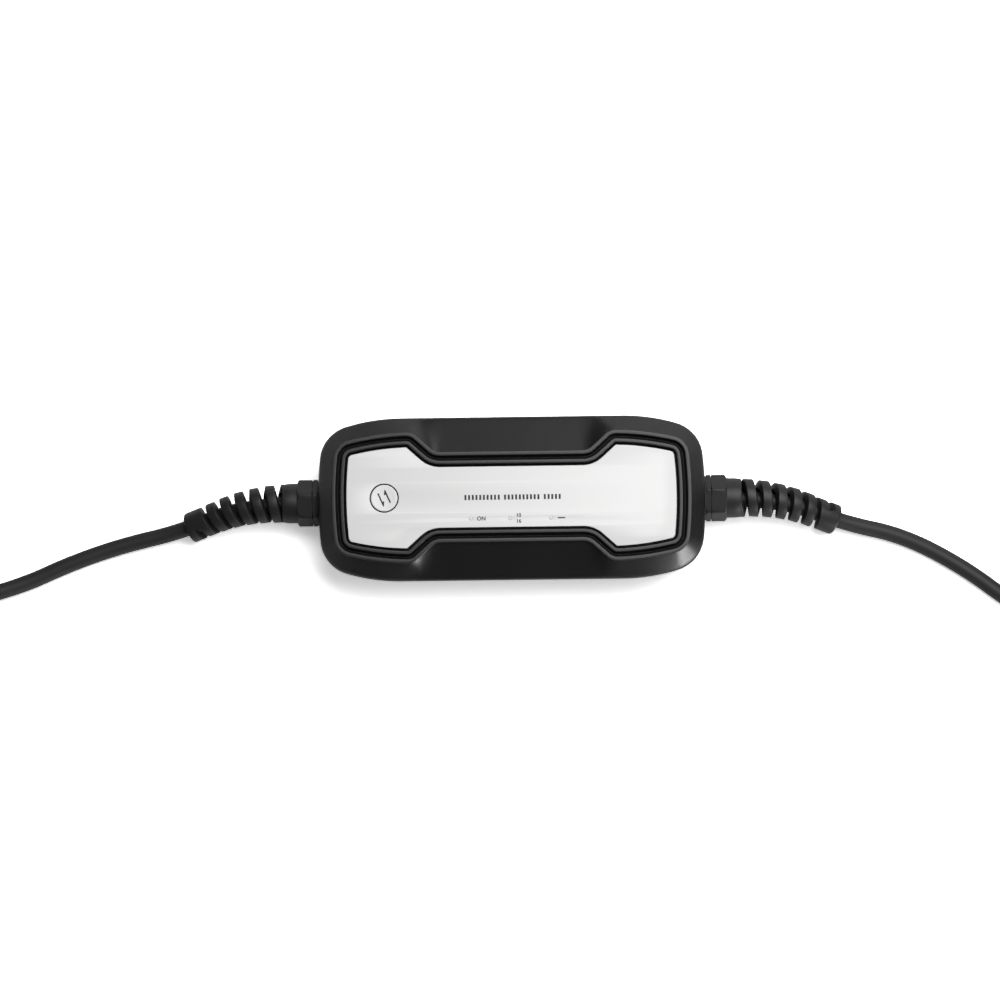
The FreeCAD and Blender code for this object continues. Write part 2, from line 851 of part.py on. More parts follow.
def supply_transformer():
    """Laminated core round a bobbin: the core's two windows show the winding."""
    x, y = transformer_place
    length, width = transformer_plan
    low = board_top()
    height = room_under_indicators() - transformer_air
    core = block(x, y, low + 2, (length, width * 0.55, height - 2))
    bobbin = rounded_block(x, y, low + 5, (length * 0.62, width, height - 8), 4.0)
    flanges = [block(x, y, z, (length * 0.7, width, 1.5)) for z in (low + 3.5, low + height - 4.5)]
    feet = []
    for across in (width * 0.4, -width * 0.4):
        for along in (length * 0.3, -length * 0.3):
            feet.append(block(x + along, y + across, low, (2.0, 2.0, 4.0)))
    return core.fuse([bobbin] + flanges + feet)


def filter_capacitors():
    """Two upright electrolytic capacitors with a crimped neck."""
    cans = []
    low = board_top()
    height = room_under_indicators() - capacitor_air
    for x, y in capacitor_places:
        can = turned([
            (0, low), (capacitor_radius, low), (capacitor_radius, low + 1.5),
            (capacitor_radius - 0.6, low + 2.3), (capacitor_radius, low + 3.1),
            (capacitor_radius, low + height - 0.6), (capacitor_radius - 0.6, low + height),
            (0, low + height),
        ])
        can.translate(V(x, y, 0))
        cans.append(can)
    return cans


def relay(x):
    """Upright power relay: case with rounded corners on a narrower sealed foot."""
    length, width = relay_plan
    low = board_top()
    height = deck_underside() - low - relay_air
    case = rounded_block(x, 0, low + 1.2, (length, width, height - 1.2), 0.8)
    return case.fuse(block(x, 0, low, (length - 1.6, width - 1.6, 1.3)))


def bend(before, corner, after):
    """Radius, reach and unit runs of the arc that rounds one point of a route."""
    run_in = corner - before
    run_out = after - corner
    shorter = min(run_in.Length, run_out.Length)
    half_turn = run_in.getAngle(run_out) / 2
    reach = arc_share * shorter
    run_in.normalize()
    run_out.normalize()
    return reach / math.tan(half_turn), reach, half_turn, run_in, run_out


def route_wire(points):
    """Straight runs joined by tangent arcs, each arc as large as its two runs allow."""
    edges = []
    start = points[0]
    for before, corner, after in zip(points, points[1:], points[2:]):
        radius, reach, half_turn, run_in, run_out = bend(before, corner, after)
        inward = run_out - run_in
        inward.normalize()
        arc_start = corner - run_in * reach
        arc_end = corner + run_out * reach
        middle = corner + inward * (radius / math.cos(half_turn) - radius)
        edges.append(segment([start, arc_start]))
        edges.append(segment([arc_start, middle, arc_end]))
        start = arc_end
    edges.append(segment([start, points[-1]]))
    return Part.Wire(edges)


def tube(name, points, radius):
    """Round cable or wire along a route, with its bend radii printed."""
    path = route_wire(points)
    disc = Part.Face(Part.Wire(Part.makeCircle(radius, points[0], points[1] - points[0])))
    body = path.makePipe(disc)
    if body.Volume < 0:
        body.reverse()
    radii = [bend(*three)[0] for three in zip(points, points[1:], points[2:])]
    ideal = math.pi * radius ** 2 * path.Length
    print(name, "length", round(path.Length, 1), "volume ratio", round(body.Volume / ideal, 4))
    print(name, "radii", [round(value, 1) for value in radii])
    return body


def sensor_conductors():
    """Two thick hairpins through the ring of the residual current coil, from board to board."""
    wires = []
    x, y = sensor_place
    low = board_top()
    top = low + sensor_height + 5.0
    out = sensor_radius + 3.0
    for side in (1, -1):
        across = y + side * sensor_wire_spacing / 2
        beside = x + side * out
        points = [V(x, across, low), V(x, across, top), V(beside, across, top), V(beside, across, low)]
        wires.append(tube("sensor conductor", points, sensor_wire_radius))
    return wires


def link_ribbon():
    """Flat ribbon from the control board up to the underside of the indicator board."""
    low, high = board_top(), indicator_board_top() - board_thickness
    rise = high - low
    half = ribbon_thickness / 2
    steps = ((0, 0.0), (0, 0.2), (ribbon_slack, 0.5), (0, 0.8), (0, 1.0))
    path = route_wire([V(x, 0, low + rise * share) for x, share in steps])
    strip = Part.makePlane(ribbon_thickness, ribbon_width, V(-half, -ribbon_width / 2, low), V(0, 0, 1))
    body = path.makePipe(strip)
    if body.Volume < 0:
        body.reverse()
    body.translate(V(ribbon_x, 0, 0))
    return body


def terminal_cores(side, ways):
    """Insulated cores from the end of a cable's jacket into the terminal block."""
    cores = []
    hole_z = board_top() + terminal_hole_height
    jacket_end = jacket_x()
    for index, y in enumerate(way_ys(ways)):
        angle = math.radians(180 - 180 * index / (ways - 1)) if ways > 3 else math.radians(210 - 120 * index)
        start_y = core_orbit * math.cos(angle)
        start = V(side * jacket_end, start_y, gland_height + core_orbit * math.sin(angle))
        near = V(side * (jacket_end - core_straight), start.y, start.z)
        far = V(side * (terminal_face_x + 5), y, hole_z)
        end = V(side * (terminal_face_x - terminal_hole_depth + 1), y, hole_z)
        cores.append(tube("core", [start, near, far, end], core_radius))
    return cores


def gland_body(side):
    """Threaded sleeve through the wall, outer hexagon and clamping fingers under the nut."""
    hex_low = washer_thickness
    hex_high = hex_low + body_hex_length
    bore = seal_radius + 0.1
    low = inner_seat_x - seat_x - sleeve_inside
    sleeve = turned([
        (bore - 1.2, low), (thread_radius - 0.6, low), (thread_radius, low + 0.6), (thread_radius, hex_high),
        (finger_radius, hex_high), (finger_radius, hex_high + finger_length - 1.5),
        (finger_radius - 1.2, hex_high + finger_length), (bore, hex_high + finger_length),
        (bore, hex_low), (bore - 1.2, hex_low),
    ])
    collar = hexagon(hex_across_flats, hex_low, hex_high, 0.5, nut_turn[side])
    collar = collar.cut(Part.makeCylinder(thread_radius - 1, body_hex_length + 2, V(0, 0, hex_low - 1)))
    body = collar.fuse(sleeve)
    slots = [block(0, 0, hex_high + 4.0, (2 * finger_radius + 2, 1.2, finger_length))]
    slots.append(block(0, 0, hex_high + 4.0, (1.2, 2 * finger_radius + 2, finger_length)))
    return placed(body.cut(slots), side)


def gland_washer(side):
    """Flat rubber washer between the box and the gland's hexagon."""
    return placed(turned([
        (thread_radius + 0.2, 0), (washer_radius, 0), (washer_radius, washer_thickness),
        (thread_radius + 0.2, washer_thickness),
    ]), side)


def gland_locknut(side):
    """Hexagonal nut on the sleeve inside the box."""
    high = inner_seat_x - seat_x
    low = high - locknut_length
    body = hexagon(hex_across_flats, low, high, 0.5)
    bore = Part.makeCylinder(thread_radius + thread_clearance, locknut_length + 2, V(0, 0, low - 1))
    return placed(body.cut(bore), side)


def gland_seal(side):
    """Rubber bush between the cable and the gland's fingers."""
    low = washer_thickness + 0.05
    high = washer_thickness + body_hex_length + finger_length - 0.8
    inner = cable_radius + seal_clearance
    return placed(turned([
        (inner, low), (seal_radius, low), (seal_radius, high - 1.0), (seal_radius - 1.0, high), (inner, high),
    ]), side)


def nut_start():
    return washer_thickness + body_hex_length + nut_gap


def dome_end():
    """Distance from the gland's seat to the dome's outer face."""
    return nut_start() + nut_hex_length + dome_length


def bend_reach():
    """Distance from the corner of a cable's first bend to each end of the bend's arc."""
    return arc_share * gland_run


def relief_radius():
    """Radius of the relief's bent axis, the same as the cable's first bend."""
    return bend_reach() / math.tan(math.radians(relief_bend) / 2)


def jacket_x():
    """Distance from the box's middle to the jacket's end inside the gland."""
    return seat_x + dome_end() + bend_reach() - gland_run


def gland_route(side):
    """First three points of a cable: inside the gland, at the relief's bend, and past its end."""
    fall = math.radians(relief_fall)
    turn = math.radians(relief_bend)
    corner = V(side * (seat_x + dome_end() + bend_reach()), 0, gland_height)
    sideways = V(0, -math.cos(fall), -math.sin(fall))
    onward = V(side * math.cos(turn), 0, 0) + sideways * math.sin(turn)
    return [V(side * jacket_x(), 0, gland_height), corner, corner + onward * gland_run]


def relief_frame(side, along):
    """Centre, direction and bending direction of the relief's axis at a distance from the dome."""
    fall = math.radians(relief_fall)
    outward = V(side, 0, 0)
    sideways = V(0, -math.cos(fall), -math.sin(fall))
    radius = relief_radius()
    bent = radius * math.radians(relief_bend)
    angle = min(max(along, 0.0), bent) / radius
    centre = V(side * (seat_x + dome_end()), 0, gland_height)
    centre += outward * (radius * math.sin(angle) + min(along, 0.0))
    centre += sideways * (radius * (1 - math.cos(angle)))
    tangent = outward * math.cos(angle) + sideways * math.sin(angle)
    normal = sideways * math.cos(angle) - outward * math.sin(angle)
    if along > bent:
        centre += tangent * (along - bent)
    return centre, tangent, normal


def band_section(side, along):
    """Six-cornered section of the spiral band, its outer edges broken."""
    centre, tangent, normal = relief_frame(side, along)
    turn = 2 * math.pi * along / relief_pitch - math.radians(relief_turn_start[side])
    binormal = tangent.cross(normal)
    outward = normal * math.cos(turn) + binormal * math.sin(turn)
    share = min(max(along / relief_wound_length, 0.0), 1.0)
    outer = relief_start_radius + (relief_end_radius - relief_start_radius) * share
    inner = relief_start_bore + (relief_end_bore - relief_start_bore) * share
    half = relief_band / 2
    low, high = outer - relief_edge, half - relief_edge
    corners = [(inner, -half), (low, -half), (outer, -high), (outer, high), (low, half), (inner, half)]
    points = [centre + outward * r + tangent * a for r, a in corners]
    return Part.makePolygon(points + points[:1])


def spiral_band(side):
    """Helical band round the bent, tapering axis of the relief, right-handed on both sides."""
    start = -relief_root
    length = relief_wound_length + relief_band * 0.35
    count = int(math.ceil((length - start) / relief_pitch * relief_steps))
    places = [start + (length - start) * i / count for i in range(count + 1)]
    return Part.makeLoft([band_section(side, place) for place in places], True, True)


def relief_ring(side):
    """Plain ring that ends the spiral, on the straight part of its axis."""
    centre, tangent, normal = relief_frame(side, relief_wound_length)
    ring = turned([
        (relief_end_bore, 0), (relief_end_radius, 0), (relief_end_radius, relief_ring_length - 1.6),
        (relief_end_radius - 1.4, relief_ring_length), (relief_end_bore, relief_ring_length),
    ])
    ring.Placement = FreeCAD.Placement(centre, FreeCAD.Rotation(V(0, 0, 1), tangent))
    return ring


def gland_nut(side):
    """Hexagonal nut, dome, spiral and end ring in one moulding: the nut's lower face clears the body."""
    low = nut_start()
    top = low + nut_hex_length
    end = dome_end()
    cap = turned([
        (finger_radius + 0.25, low), (dome_radius, low), (dome_radius, top + dome_length * 0.62),
        (dome_radius - 0.15, top + dome_length * 0.86), (dome_end_radius, end),
        (relief_start_bore - 1.2, end), (relief_start_bore - 1.2, end - 2.4),
        (finger_radius + 0.25, top + 3.2),
    ])
    collar = hexagon(hex_across_flats, low, top, 0.9, nut_turn[side])
    collar = collar.cut(Part.makeCylinder(dome_radius - 0.5, nut_hex_length + 2, V(0, 0, low - 1)))
    cap = placed(cap.fuse(collar), side)
    return cap.fuse([spiral_band(side), relief_ring(side)])


def charging_cable_coil():
    """The wound cable as one ring: its turns side by side and in layers."""
    half = coil_columns * cable_radius
    height = coil_layers * 2 * cable_radius
    near, far = coil_mid_radius - half, coil_mid_radius + half
    corner = coil_corner
    bevel = corner * 0.3
    body = turned([
        (near, corner), (near + bevel, bevel), (near + corner, 0), (far - corner, 0), (far - bevel, bevel),
        (far, corner), (far, height - corner), (far - bevel, height - bevel), (far - corner, height),
        (near + corner, height), (near + bevel, height - bevel), (near, height - corner),
    ])
    body.translate(V(coil_centre[0], coil_centre[1], 0))
    return body


def oval(x, y_half, z_half, drop):
    """Upright oval section of the grip at a distance from the nose, in the world frame."""
    centre = V(x, connector_y, connector_axis_height - drop)
    if y_half >= z_half:
        ellipse = Part.Ellipse(centre + V(0, y_half, 0), centre + V(0, 0, z_half), centre)
    else:
        ellipse = Part.Ellipse(centre + V(0, 0, z_half), centre + V(0, y_half, 0), centre)
    return Part.Wire(ellipse.toShape())


def connector_rear():
    """Middle of the grip's rear end, where the cable goes in."""
    rear = nose_tip_x + nose_length + collar_length + grip_length
    return V(rear, connector_y, connector_axis_height - grip_drop)


def connector_grip():
    """Moulded handle: slim drooping grip that swells into the collar round the nose."""
    collar_x = nose_tip_x + nose_length
    back = collar_x + collar_length
    sections = [
        oval(back, collar_radius, collar_radius, 0.0),
        oval(back + grip_length * 0.10, collar_radius * 0.86, collar_radius * 0.84, grip_drop * 0.03),
        oval(back + grip_length * 0.28, collar_radius * 0.69, collar_radius * 0.70, grip_drop * 0.2),
        oval(back + grip_length * 0.55, collar_radius * 0.66, collar_radius * 0.70, grip_drop * 0.54),
        oval(back + grip_length * 0.82, collar_radius * 0.58, collar_radius * 0.60, grip_drop * 0.84),
        oval(back + grip_length, grip_rear_radius, grip_rear_radius - 0.01, grip_drop),
    ]
    handle = Part.makeLoft(sections, True, False)
    collar = turned([
        (0, 0), (collar_radius - 2.5, 0), (collar_radius - 0.6, 1.2), (collar_radius, 4.0),
        (collar_radius, collar_length), (0, collar_length),
    ])
    placing = FreeCAD.Rotation(V(0, 0, 1), V(1, 0, 0))
    collar.Placement = FreeCAD.Placement(V(collar_x, connector_y, connector_axis_height), placing)
    body = handle.fuse(collar)
    pocket_end = collar_x + collar_length - pocket_floor
    pocket = d_prism(nose_radius + pocket_clearance, nose_flat + pocket_clearance, collar_x - 1, pocket_end)
    bore_start = connector_rear() + V(1, 0, 0)
    bore = Part.makeCylinder(cable_radius + 0.1, grip_bore_depth, bore_start, V(-1, 0, 0))
    return body.cut([pocket, bore])


def d_prism(radius, flat, start_x, end_x):
    """Round bar along X with one flat side, the flat upwards."""
    length = end_x - start_x
    centre = V(start_x, connector_y, connector_axis_height)
    body = Part.makeCylinder(radius, length, centre, V(1, 0, 0))
    lid_corner = V(start_x - 1, connector_y - radius - 1, centre.z + flat)
    lid = Part.makeBox(length + 2, 2 * radius + 2, radius, lid_corner)
    return body.cut(lid)


def contact_places():
    """Contacts of the nose as (y, z, bore radius, hole radius, recess)."""
    hole = contact_bore + contact_wall
    places = [(y, z, contact_bore, hole, contact_recess) for y, z in power_contacts]
    return places + [(y, z, pilot_bore, pilot_hole, pilot_recess) for y, z in pilot_contacts]


def connector_insert():
    """Flat-topped nose with seven contact holes, seated in the collar."""
    end_x = nose_tip_x + nose_length + collar_length - pocket_floor
    body = d_prism(nose_radius, nose_flat, nose_tip_x + 1.2, end_x)
    tip = d_prism(nose_radius - 1.2, nose_flat - 1.2, nose_tip_x, nose_tip_x + 1.3)
    body = body.fuse(tip)
    tools = []
    for y, z, bore, hole, recess in contact_places():
        start = V(nose_tip_x - 1, connector_y + y, connector_axis_height + z)
        depth = contact_depth + recess + 1
        tools.append(Part.makeCylinder(hole + contact_clearance, depth, start, V(1, 0, 0)))
    return body.cut(tools)


def connector_contacts():
    """Seven metal sleeves at the bottom of the nose's holes."""
    sleeves = []
    for y, z, bore, hole, recess in contact_places():
        start = V(nose_tip_x + recess, connector_y + y, connector_axis_height + z)
        sleeve = Part.makeCylinder(hole, contact_depth, start, V(1, 0, 0))
        sleeves.append(sleeve.cut(Part.makeCylinder(bore, contact_depth - contact_floor, start, V(1, 0, 0))))
    return sleeves


def plug_frame(shape):
    """Move a part built round the plug's own axis to where the plug lies."""
    heading = math.degrees(math.atan2(
        mains_free_points[-1][1] - plug_centre[1], mains_free_points[-1][0] - plug_centre[0]
    ))
    spin = FreeCAD.Rotation(V(0, 0, 1), heading)
    frame = FreeCAD.Placement(V(plug_centre[0], plug_centre[1], 0), spin)
    shape.Placement = frame.multiply(shape.Placement)
    return shape


def plug_neck_end():
    """Distance from the plug's axis to the end of its neck, where the cable starts."""
    across = mains_free_points[-1][0] - plug_centre[0]
    along = mains_free_points[-1][1] - plug_centre[1]
    return math.hypot(across, along)


def mains_plug_body():
    """Round plug with a narrower front, earth clip channels and a ribbed neck for the cable."""
    shoulder = plug_height - plug_front_height
    head = turned([
        (0, 0), (plug_radius - 3.0, 0), (plug_radius - 0.9, 0.9), (plug_radius, 3.0),
        (plug_radius, shoulder - 1.0), (plug_radius - 0.5, shoulder), (plug_front_radius, shoulder),
        (plug_front_radius, plug_height - 1.0), (plug_front_radius - 1.0, plug_height), (0, plug_height),
    ])
    end = plug_neck_end()
    slope = (plug_neck_radius - plug_neck_end_radius) / (end - plug_neck_start)
    profile = [(0, plug_neck_start), (plug_neck_radius, plug_neck_start)]
    ribs = [end - 18.0, end - 12.0, end - 6.0]
    for rib in ribs:
        reach = plug_neck_radius - slope * (rib - plug_neck_start)
        profile += [(reach, rib), (reach - 1.1, rib), (reach - 1.1, rib + 2.0), (reach - 0.1, rib + 2.0)]
    profile += [(plug_neck_end_radius, end), (0, end)]
    neck = turned(profile)
    neck.Placement = FreeCAD.Placement(V(0, 0, plug_neck_height), FreeCAD.Rotation(V(0, 0, 1), V(1, 0, 0)))
    body = head.fuse(neck)
    earth_low = plug_height - earth_hole_depth
    tools = [rod(plug_front_radius * 0.56, 0, earth_low, plug_height + 1, earth_hole_radius)]
    for side in (1, -1):
        channel = block(side * plug_front_radius, 0, shoulder, (5.0, clip_width + 0.4, plug_front_height + 1))
        tools.append(channel)
    return plug_frame(body.cut(tools))


def mains_plug_pins():
    """Two round pins with domed tips standing on the plug's face."""
    pins = []
    for side in (1, -1):
        pin = turned([
            (0, plug_height), (pin_radius, plug_height), (pin_radius, plug_height + pin_length - 1.4),
            (pin_radius * 0.7, plug_height + pin_length - 0.4), (pin_radius * 0.3, plug_height + pin_length),
            (0, plug_height + pin_length),
        ])
        pin.translate(V(0, side * pin_spacing / 2, 0))
        pins.append(pin)
    return [plug_frame(pin) for pin in pins]


def mains_plug_earth_clips():
    """Two sprung metal strips in the channels at the plug's sides."""
    clips = []
    shoulder = plug_height - plug_front_height
    inner = plug_front_radius - 2.5
    for side in (1, -1):
        outer = inner + clip_strip
        waist, top = shoulder + clip_height * 0.5, shoulder + clip_height
        corners = [(inner, shoulder), (outer, shoulder), (outer + 0.9, waist), (outer, top)]
        corners += [(inner, top), (inner + 0.9, waist), (inner, shoulder)]
        profile = Part.makePolygon([V(reach, 0, height) for reach, height in corners])
        strip = Part.Face(profile).extrude(V(0, clip_width, 0))
        strip.translate(V(0, -clip_width / 2, 0))
        strip.rotate(V(0, 0, 0), V(0, 0, 1), 90 - side * 90)
        clips.append(strip)
    return [plug_frame(clip) for clip in clips]


def at_button(shape):
    """Move a part built on local Z to the button's axis."""
    shape.translate(V(button_x, 0, 0))
    return shape


def write(name, shapes):
    """Save one node, a single solid or a group of alike separate ones."""
    shapes = shapes if isinstance(shapes, list) else [shapes]
    solids = [solid for shape in shapes for solid in shape.Solids]
    for solid in solids:
        if not solid.isValid() or solid.Volume <= 0:
            print("CHECK", name, solid.isValid(), solid.Volume)
    node = solids[0] if len(solids) == 1 else Part.makeCompound(solids)
    node.exportStep("parts/" + name + ".step")
    print(name, len(solids), "solids", round(sum(s.Volume for s in solids) / 1000.0, 2), "cm3", node.BoundBox)


def main():
    os.makedirs("parts", exist_ok=True)
    write("cover", cover())
    write("base", base())
    write("housing_gasket", housing_gasket())
    write("face_plate", face_plate())
    write("housing_screws", housing_screws())
    for name, x in light_xs.items():
        write(name + "_light_pipe", light_pipe(x))
    write("button_cap", at_button(button_cap()))
    write("button_o_ring", at_button(button_o_ring()))
    write("button_clip", at_button(button_clip()))
    write("tact_switch_body", at_button(tact_switch_body()))
    write("tact_switch_plunger", at_button(tact_switch_plunger()))
    write("indicator_board", indicator_board())
    low_face = indicator_board_top() - board_thickness
    write("indicator_board_screws", small_screws(indicator_screw_places(), low_face, 1))
    write("indicator_leds", indicator_leds())
    write("control_board", control_board())
    write("board_screws", small_screws(board_screw_places(), board_top(), -1))
    write("mains_terminal_block", terminal_block(-1, 3))
    write("output_terminal_block", terminal_block(1, 4))
    write("mains_fuse", mains_fuse())
    write("line_choke", ring_coil(*choke_place, choke_radius, choke_hole, choke_height))
    write("supply_transformer", supply_transformer())
    write("filter_capacitors", filter_capacitors())
    for name, x in relay_xs.items():
        write(name + "_relay", relay(x))
    write("residual_current_coil", ring_coil(*sensor_place, sensor_radius, sensor_hole, sensor_height))
    write("sensor_conductors", sensor_conductors())
    write("link_ribbon", link_ribbon())
    write("mains_cores", terminal_cores(-1, 3))
    write("charging_cores", terminal_cores(1, 4))
    for name, side in (("left", -1), ("right", 1)):
        write(name + "_gland_body", gland_body(side))
        write(name + "_gland_washer", gland_washer(side))
        write(name + "_gland_locknut", gland_locknut(side))
        write(name + "_gland_seal", gland_seal(side))
        write(name + "_gland_nut", gland_nut(side))
    mains = gland_route(-1) + [V(*p) for p in mains_free_points]
    charging = gland_route(1) + [V(*p) for p in charging_free_points]
    write("mains_cable", tube("mains_cable", mains, cable_radius))
    write("charging_cable", tube("charging_cable", charging, cable_radius))
    write("charging_cable_coil", charging_cable_coil())
    tail = [V(*p) for p in tail_points] + [connector_rear()]
    write("charging_cable_tail", tube("charging_cable_tail", tail, cable_radius))
    write("connector_grip", connector_grip())
    write("connector_insert", connector_insert())
    write("connector_contacts", connector_contacts())
    write("mains_plug_body", mains_plug_body())
    write("mains_plug_pins", mains_plug_pins())
    write("mains_plug_earth_clips", mains_plug_earth_clips())


main()
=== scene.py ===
import math

import bmesh
import bpy
import numpy as np
from mathutils import Matrix, Vector


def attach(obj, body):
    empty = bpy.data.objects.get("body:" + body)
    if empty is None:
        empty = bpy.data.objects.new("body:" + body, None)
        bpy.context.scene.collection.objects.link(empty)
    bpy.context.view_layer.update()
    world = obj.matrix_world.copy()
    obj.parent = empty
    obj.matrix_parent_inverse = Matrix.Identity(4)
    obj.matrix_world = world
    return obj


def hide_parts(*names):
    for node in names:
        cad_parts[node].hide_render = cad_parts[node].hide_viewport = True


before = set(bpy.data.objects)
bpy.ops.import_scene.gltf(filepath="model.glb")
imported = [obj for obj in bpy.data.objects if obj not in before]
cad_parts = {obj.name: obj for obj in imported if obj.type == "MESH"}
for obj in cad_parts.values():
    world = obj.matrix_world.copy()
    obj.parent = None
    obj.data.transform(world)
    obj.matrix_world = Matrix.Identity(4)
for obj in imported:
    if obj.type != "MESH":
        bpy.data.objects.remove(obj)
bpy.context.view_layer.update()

# Camera: a long lens almost straight above the control box, leaning a little towards the side
# with the indicator windows, so that the lower rim of the housing shows.
view_distance, view_focal, film_width = 3.0, 4.61724, 36.0
view_turns = [math.radians(a) for a in (-5.067, -0.63, 0.745)]
view_shift = (0.00756, 0.0016)
aim = Vector((0.0, 0.0, 0.047))
world_to_eye = (Matrix.Rotation(view_turns[2], 3, "Z") @ Matrix.Rotation(view_turns[1], 3, "Y")
                @ Matrix.Rotation(view_turns[0], 3, "X"))
eye_to_world = world_to_eye.transposed()
eye = aim - eye_to_world @ Vector((view_shift[0], view_shift[1], -view_distance))
lens = bpy.data.cameras.new("photo_view")
lens.sensor_width = film_width
lens.lens = view_focal * film_width
lens.clip_end = 20.0
camera = bpy.data.objects.new("photo_view", lens)
bpy.context.scene.collection.objects.link(camera)
camera.matrix_world = Matrix.Translation(eye) @ eye_to_world.to_4x4()
bpy.context.scene.camera = camera

# Mains lead: a round three-core cable in a soft black jacket. It leaves the left gland, bends down
# in the spiral relief, lies on the floor and ends in the moulded neck of its plug.
jacket_radius, gland_height = 0.00525, 0.0235


def shader(name, colour, roughness, specular=0.5):
    """New material with one Principled shader, and Object coordinates for its textures."""
    material = bpy.data.materials.new(name)
    material.use_nodes = True
    nodes = material.node_tree.nodes
    bsdf = nodes["Principled BSDF"]
    bsdf.inputs["Base Color"].default_value = (*colour, 1.0)
    bsdf.inputs["Roughness"].default_value = roughness
    bsdf.inputs["Specular IOR Level"].default_value = specular
    place = nodes.new("ShaderNodeTexCoord")
    return material, nodes, material.node_tree.links, bsdf, place.outputs["Object"]


def noise(nodes, links, place, scale, detail=2.0):
    """A noise texture of that many features a metre, read at Object coordinates."""
    texture = nodes.new("ShaderNodeTexNoise")
    texture.inputs["Scale"].default_value = scale
    texture.inputs["Detail"].default_value = detail
    links.new(place, texture.inputs["Vector"])
    return texture.outputs["Fac"]


def spread(nodes, links, value, low, high, start=0.0, end=1.0, ease="LINEAR"):
    """The value from start to end carried to the range low to high."""
    ranged = nodes.new("ShaderNodeMapRange")
    ranged.interpolation_type = ease
    for socket, number in (("From Min", start), ("From Max", end), ("To Min", low), ("To Max", high)):
        ranged.inputs[socket].default_value = number
    links.new(value, ranged.inputs["Value"])
    return ranged.outputs["Result"]


def combined(nodes, links, operation, *values):
    """The result of one Math node, whose inputs are plain numbers or other nodes' outputs."""
    node = nodes.new("ShaderNodeMath")
    node.operation = operation
    for socket, value in zip(node.inputs, values):
        if isinstance(value, float):
            socket.default_value = value
        else:
            links.new(value, socket)
    return node.outputs[0]


def tinted(nodes, links, bsdf, value, colour, dark, light):
    """Base colour times a factor that goes from dark to light as the value rises."""
    tone = nodes.new("ShaderNodeMix")
    tone.data_type = "RGBA"
    tone.inputs["A"].default_value = (*[c * dark for c in colour], 1.0)
    tone.inputs["B"].default_value = (*[min(1.0, c * light) for c in colour], 1.0)
    links.new(value, tone.inputs["Factor"])
    links.new(tone.outputs["Result"], bsdf.inputs["Base Color"])


def embossed(nodes, links, bsdf, height, strength, depth):
    """Relief finer than the mesh: the normal tipped by the slope of the height, of that depth."""
    bump = nodes.new("ShaderNodeBump")
    bump.inputs["Strength"].default_value = strength
    bump.inputs["Distance"].default_value = depth
    links.new(height, bump.inputs["Height"])
    links.new(bump.outputs["Normal"], bsdf.inputs["Normal"])


def moulded(name, colour, roughness, grain, depth, specular=0.5, wave=25.0):
    """Moulded plastic or rubber: a fine spark-eroded grain, a slow drift of tone and of gloss."""
    material, nodes, links, bsdf, place = shader(name, colour, roughness, specular)
    slow = noise(nodes, links, place, wave, 3.0)
    fine = noise(nodes, links, place, grain, 2.0)
    tinted(nodes, links, bsdf, slow, colour, 0.86, 1.14)
    both = combined(nodes, links, "ADD", spread(nodes, links, slow, -0.04, 0.04),
                    spread(nodes, links, fine, roughness - 0.05, roughness + 0.05))
    links.new(both, bsdf.inputs["Roughness"])
    embossed(nodes, links, bsdf, fine, 0.5, depth)
    return material


def placed(name, form, material, nodes=(), body="housing"):
    """A mesh or curve as a piece of one material, which rides on a body and stands for its nodes."""
    form.materials.clear()
    form.materials.append(material)
    piece = bpy.data.objects.new(name, form)
    bpy.context.scene.collection.objects.link(piece)
    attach(piece, body)
    if nodes:
        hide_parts(*nodes)
    return piece


def lead(name, points, *nodes):
    """One smooth round cable: a NURBS curve of order 3 held by its route points, in metres."""
    curve = bpy.data.curves.new(name, "CURVE")
    curve.dimensions = "3D"
    spline = curve.splines.new("NURBS")
    spline.points.add(len(points) - 1)
    flat = np.column_stack([points, np.ones(len(points))]).ravel()
    spline.points.foreach_set("co", flat)
    spline.order_u = 3
    spline.use_endpoint_u = True
    curve.resolution_u = 8
    curve.bevel_depth = jacket_radius
    curve.bevel_resolution = 6
    curve.use_fill_caps = True
    return placed(name, curve, jacket, nodes)


jacket = moulded("cable_jacket_black", (0.0115, 0.0115, 0.012), 0.56, 5200.0, 0.00003, 0.4)
mains_route = np.array([
    (-0.1226, 0.0, gland_height), (-0.1726, 0.0, gland_height), (-0.21754, -0.01629, 0.00883),
    (-0.2566, -0.0246, 0.0056), (-0.291, -0.036, 0.0053), (-0.3248, -0.0512, 0.0056),
    (-0.349, -0.0575, 0.0095),
])
mains_lead = lead("mains_lead", mains_route, "mains_cable")

# Charging lead: the same cable on the vehicle side. It leaves the right gland, and its spare length
# is wound into a neat coil of three columns and four layers, on which its connector lies.
coil_centre = np.array([0.435, -0.0145])
coil_turns = 12
points_a_turn = 16
turn_radii = np.array([73.5, 63.0, 52.5, 52.5, 63.0, 73.5, 73.5, 63.0, 52.5, 52.5, 63.0, 73.5, 73.5]) / 1000.0
turn_layers = np.array([0, 0, 0, 1, 1, 1, 2, 2, 2, 3, 3, 3, 3])
turn_heights = turn_layers * 2.0 * jacket_radius + jacket_radius
step_from, step_to = 0.66, 0.94
control_reach = 0.75 + 0.25 * math.cos(2.0 * math.pi / points_a_turn)


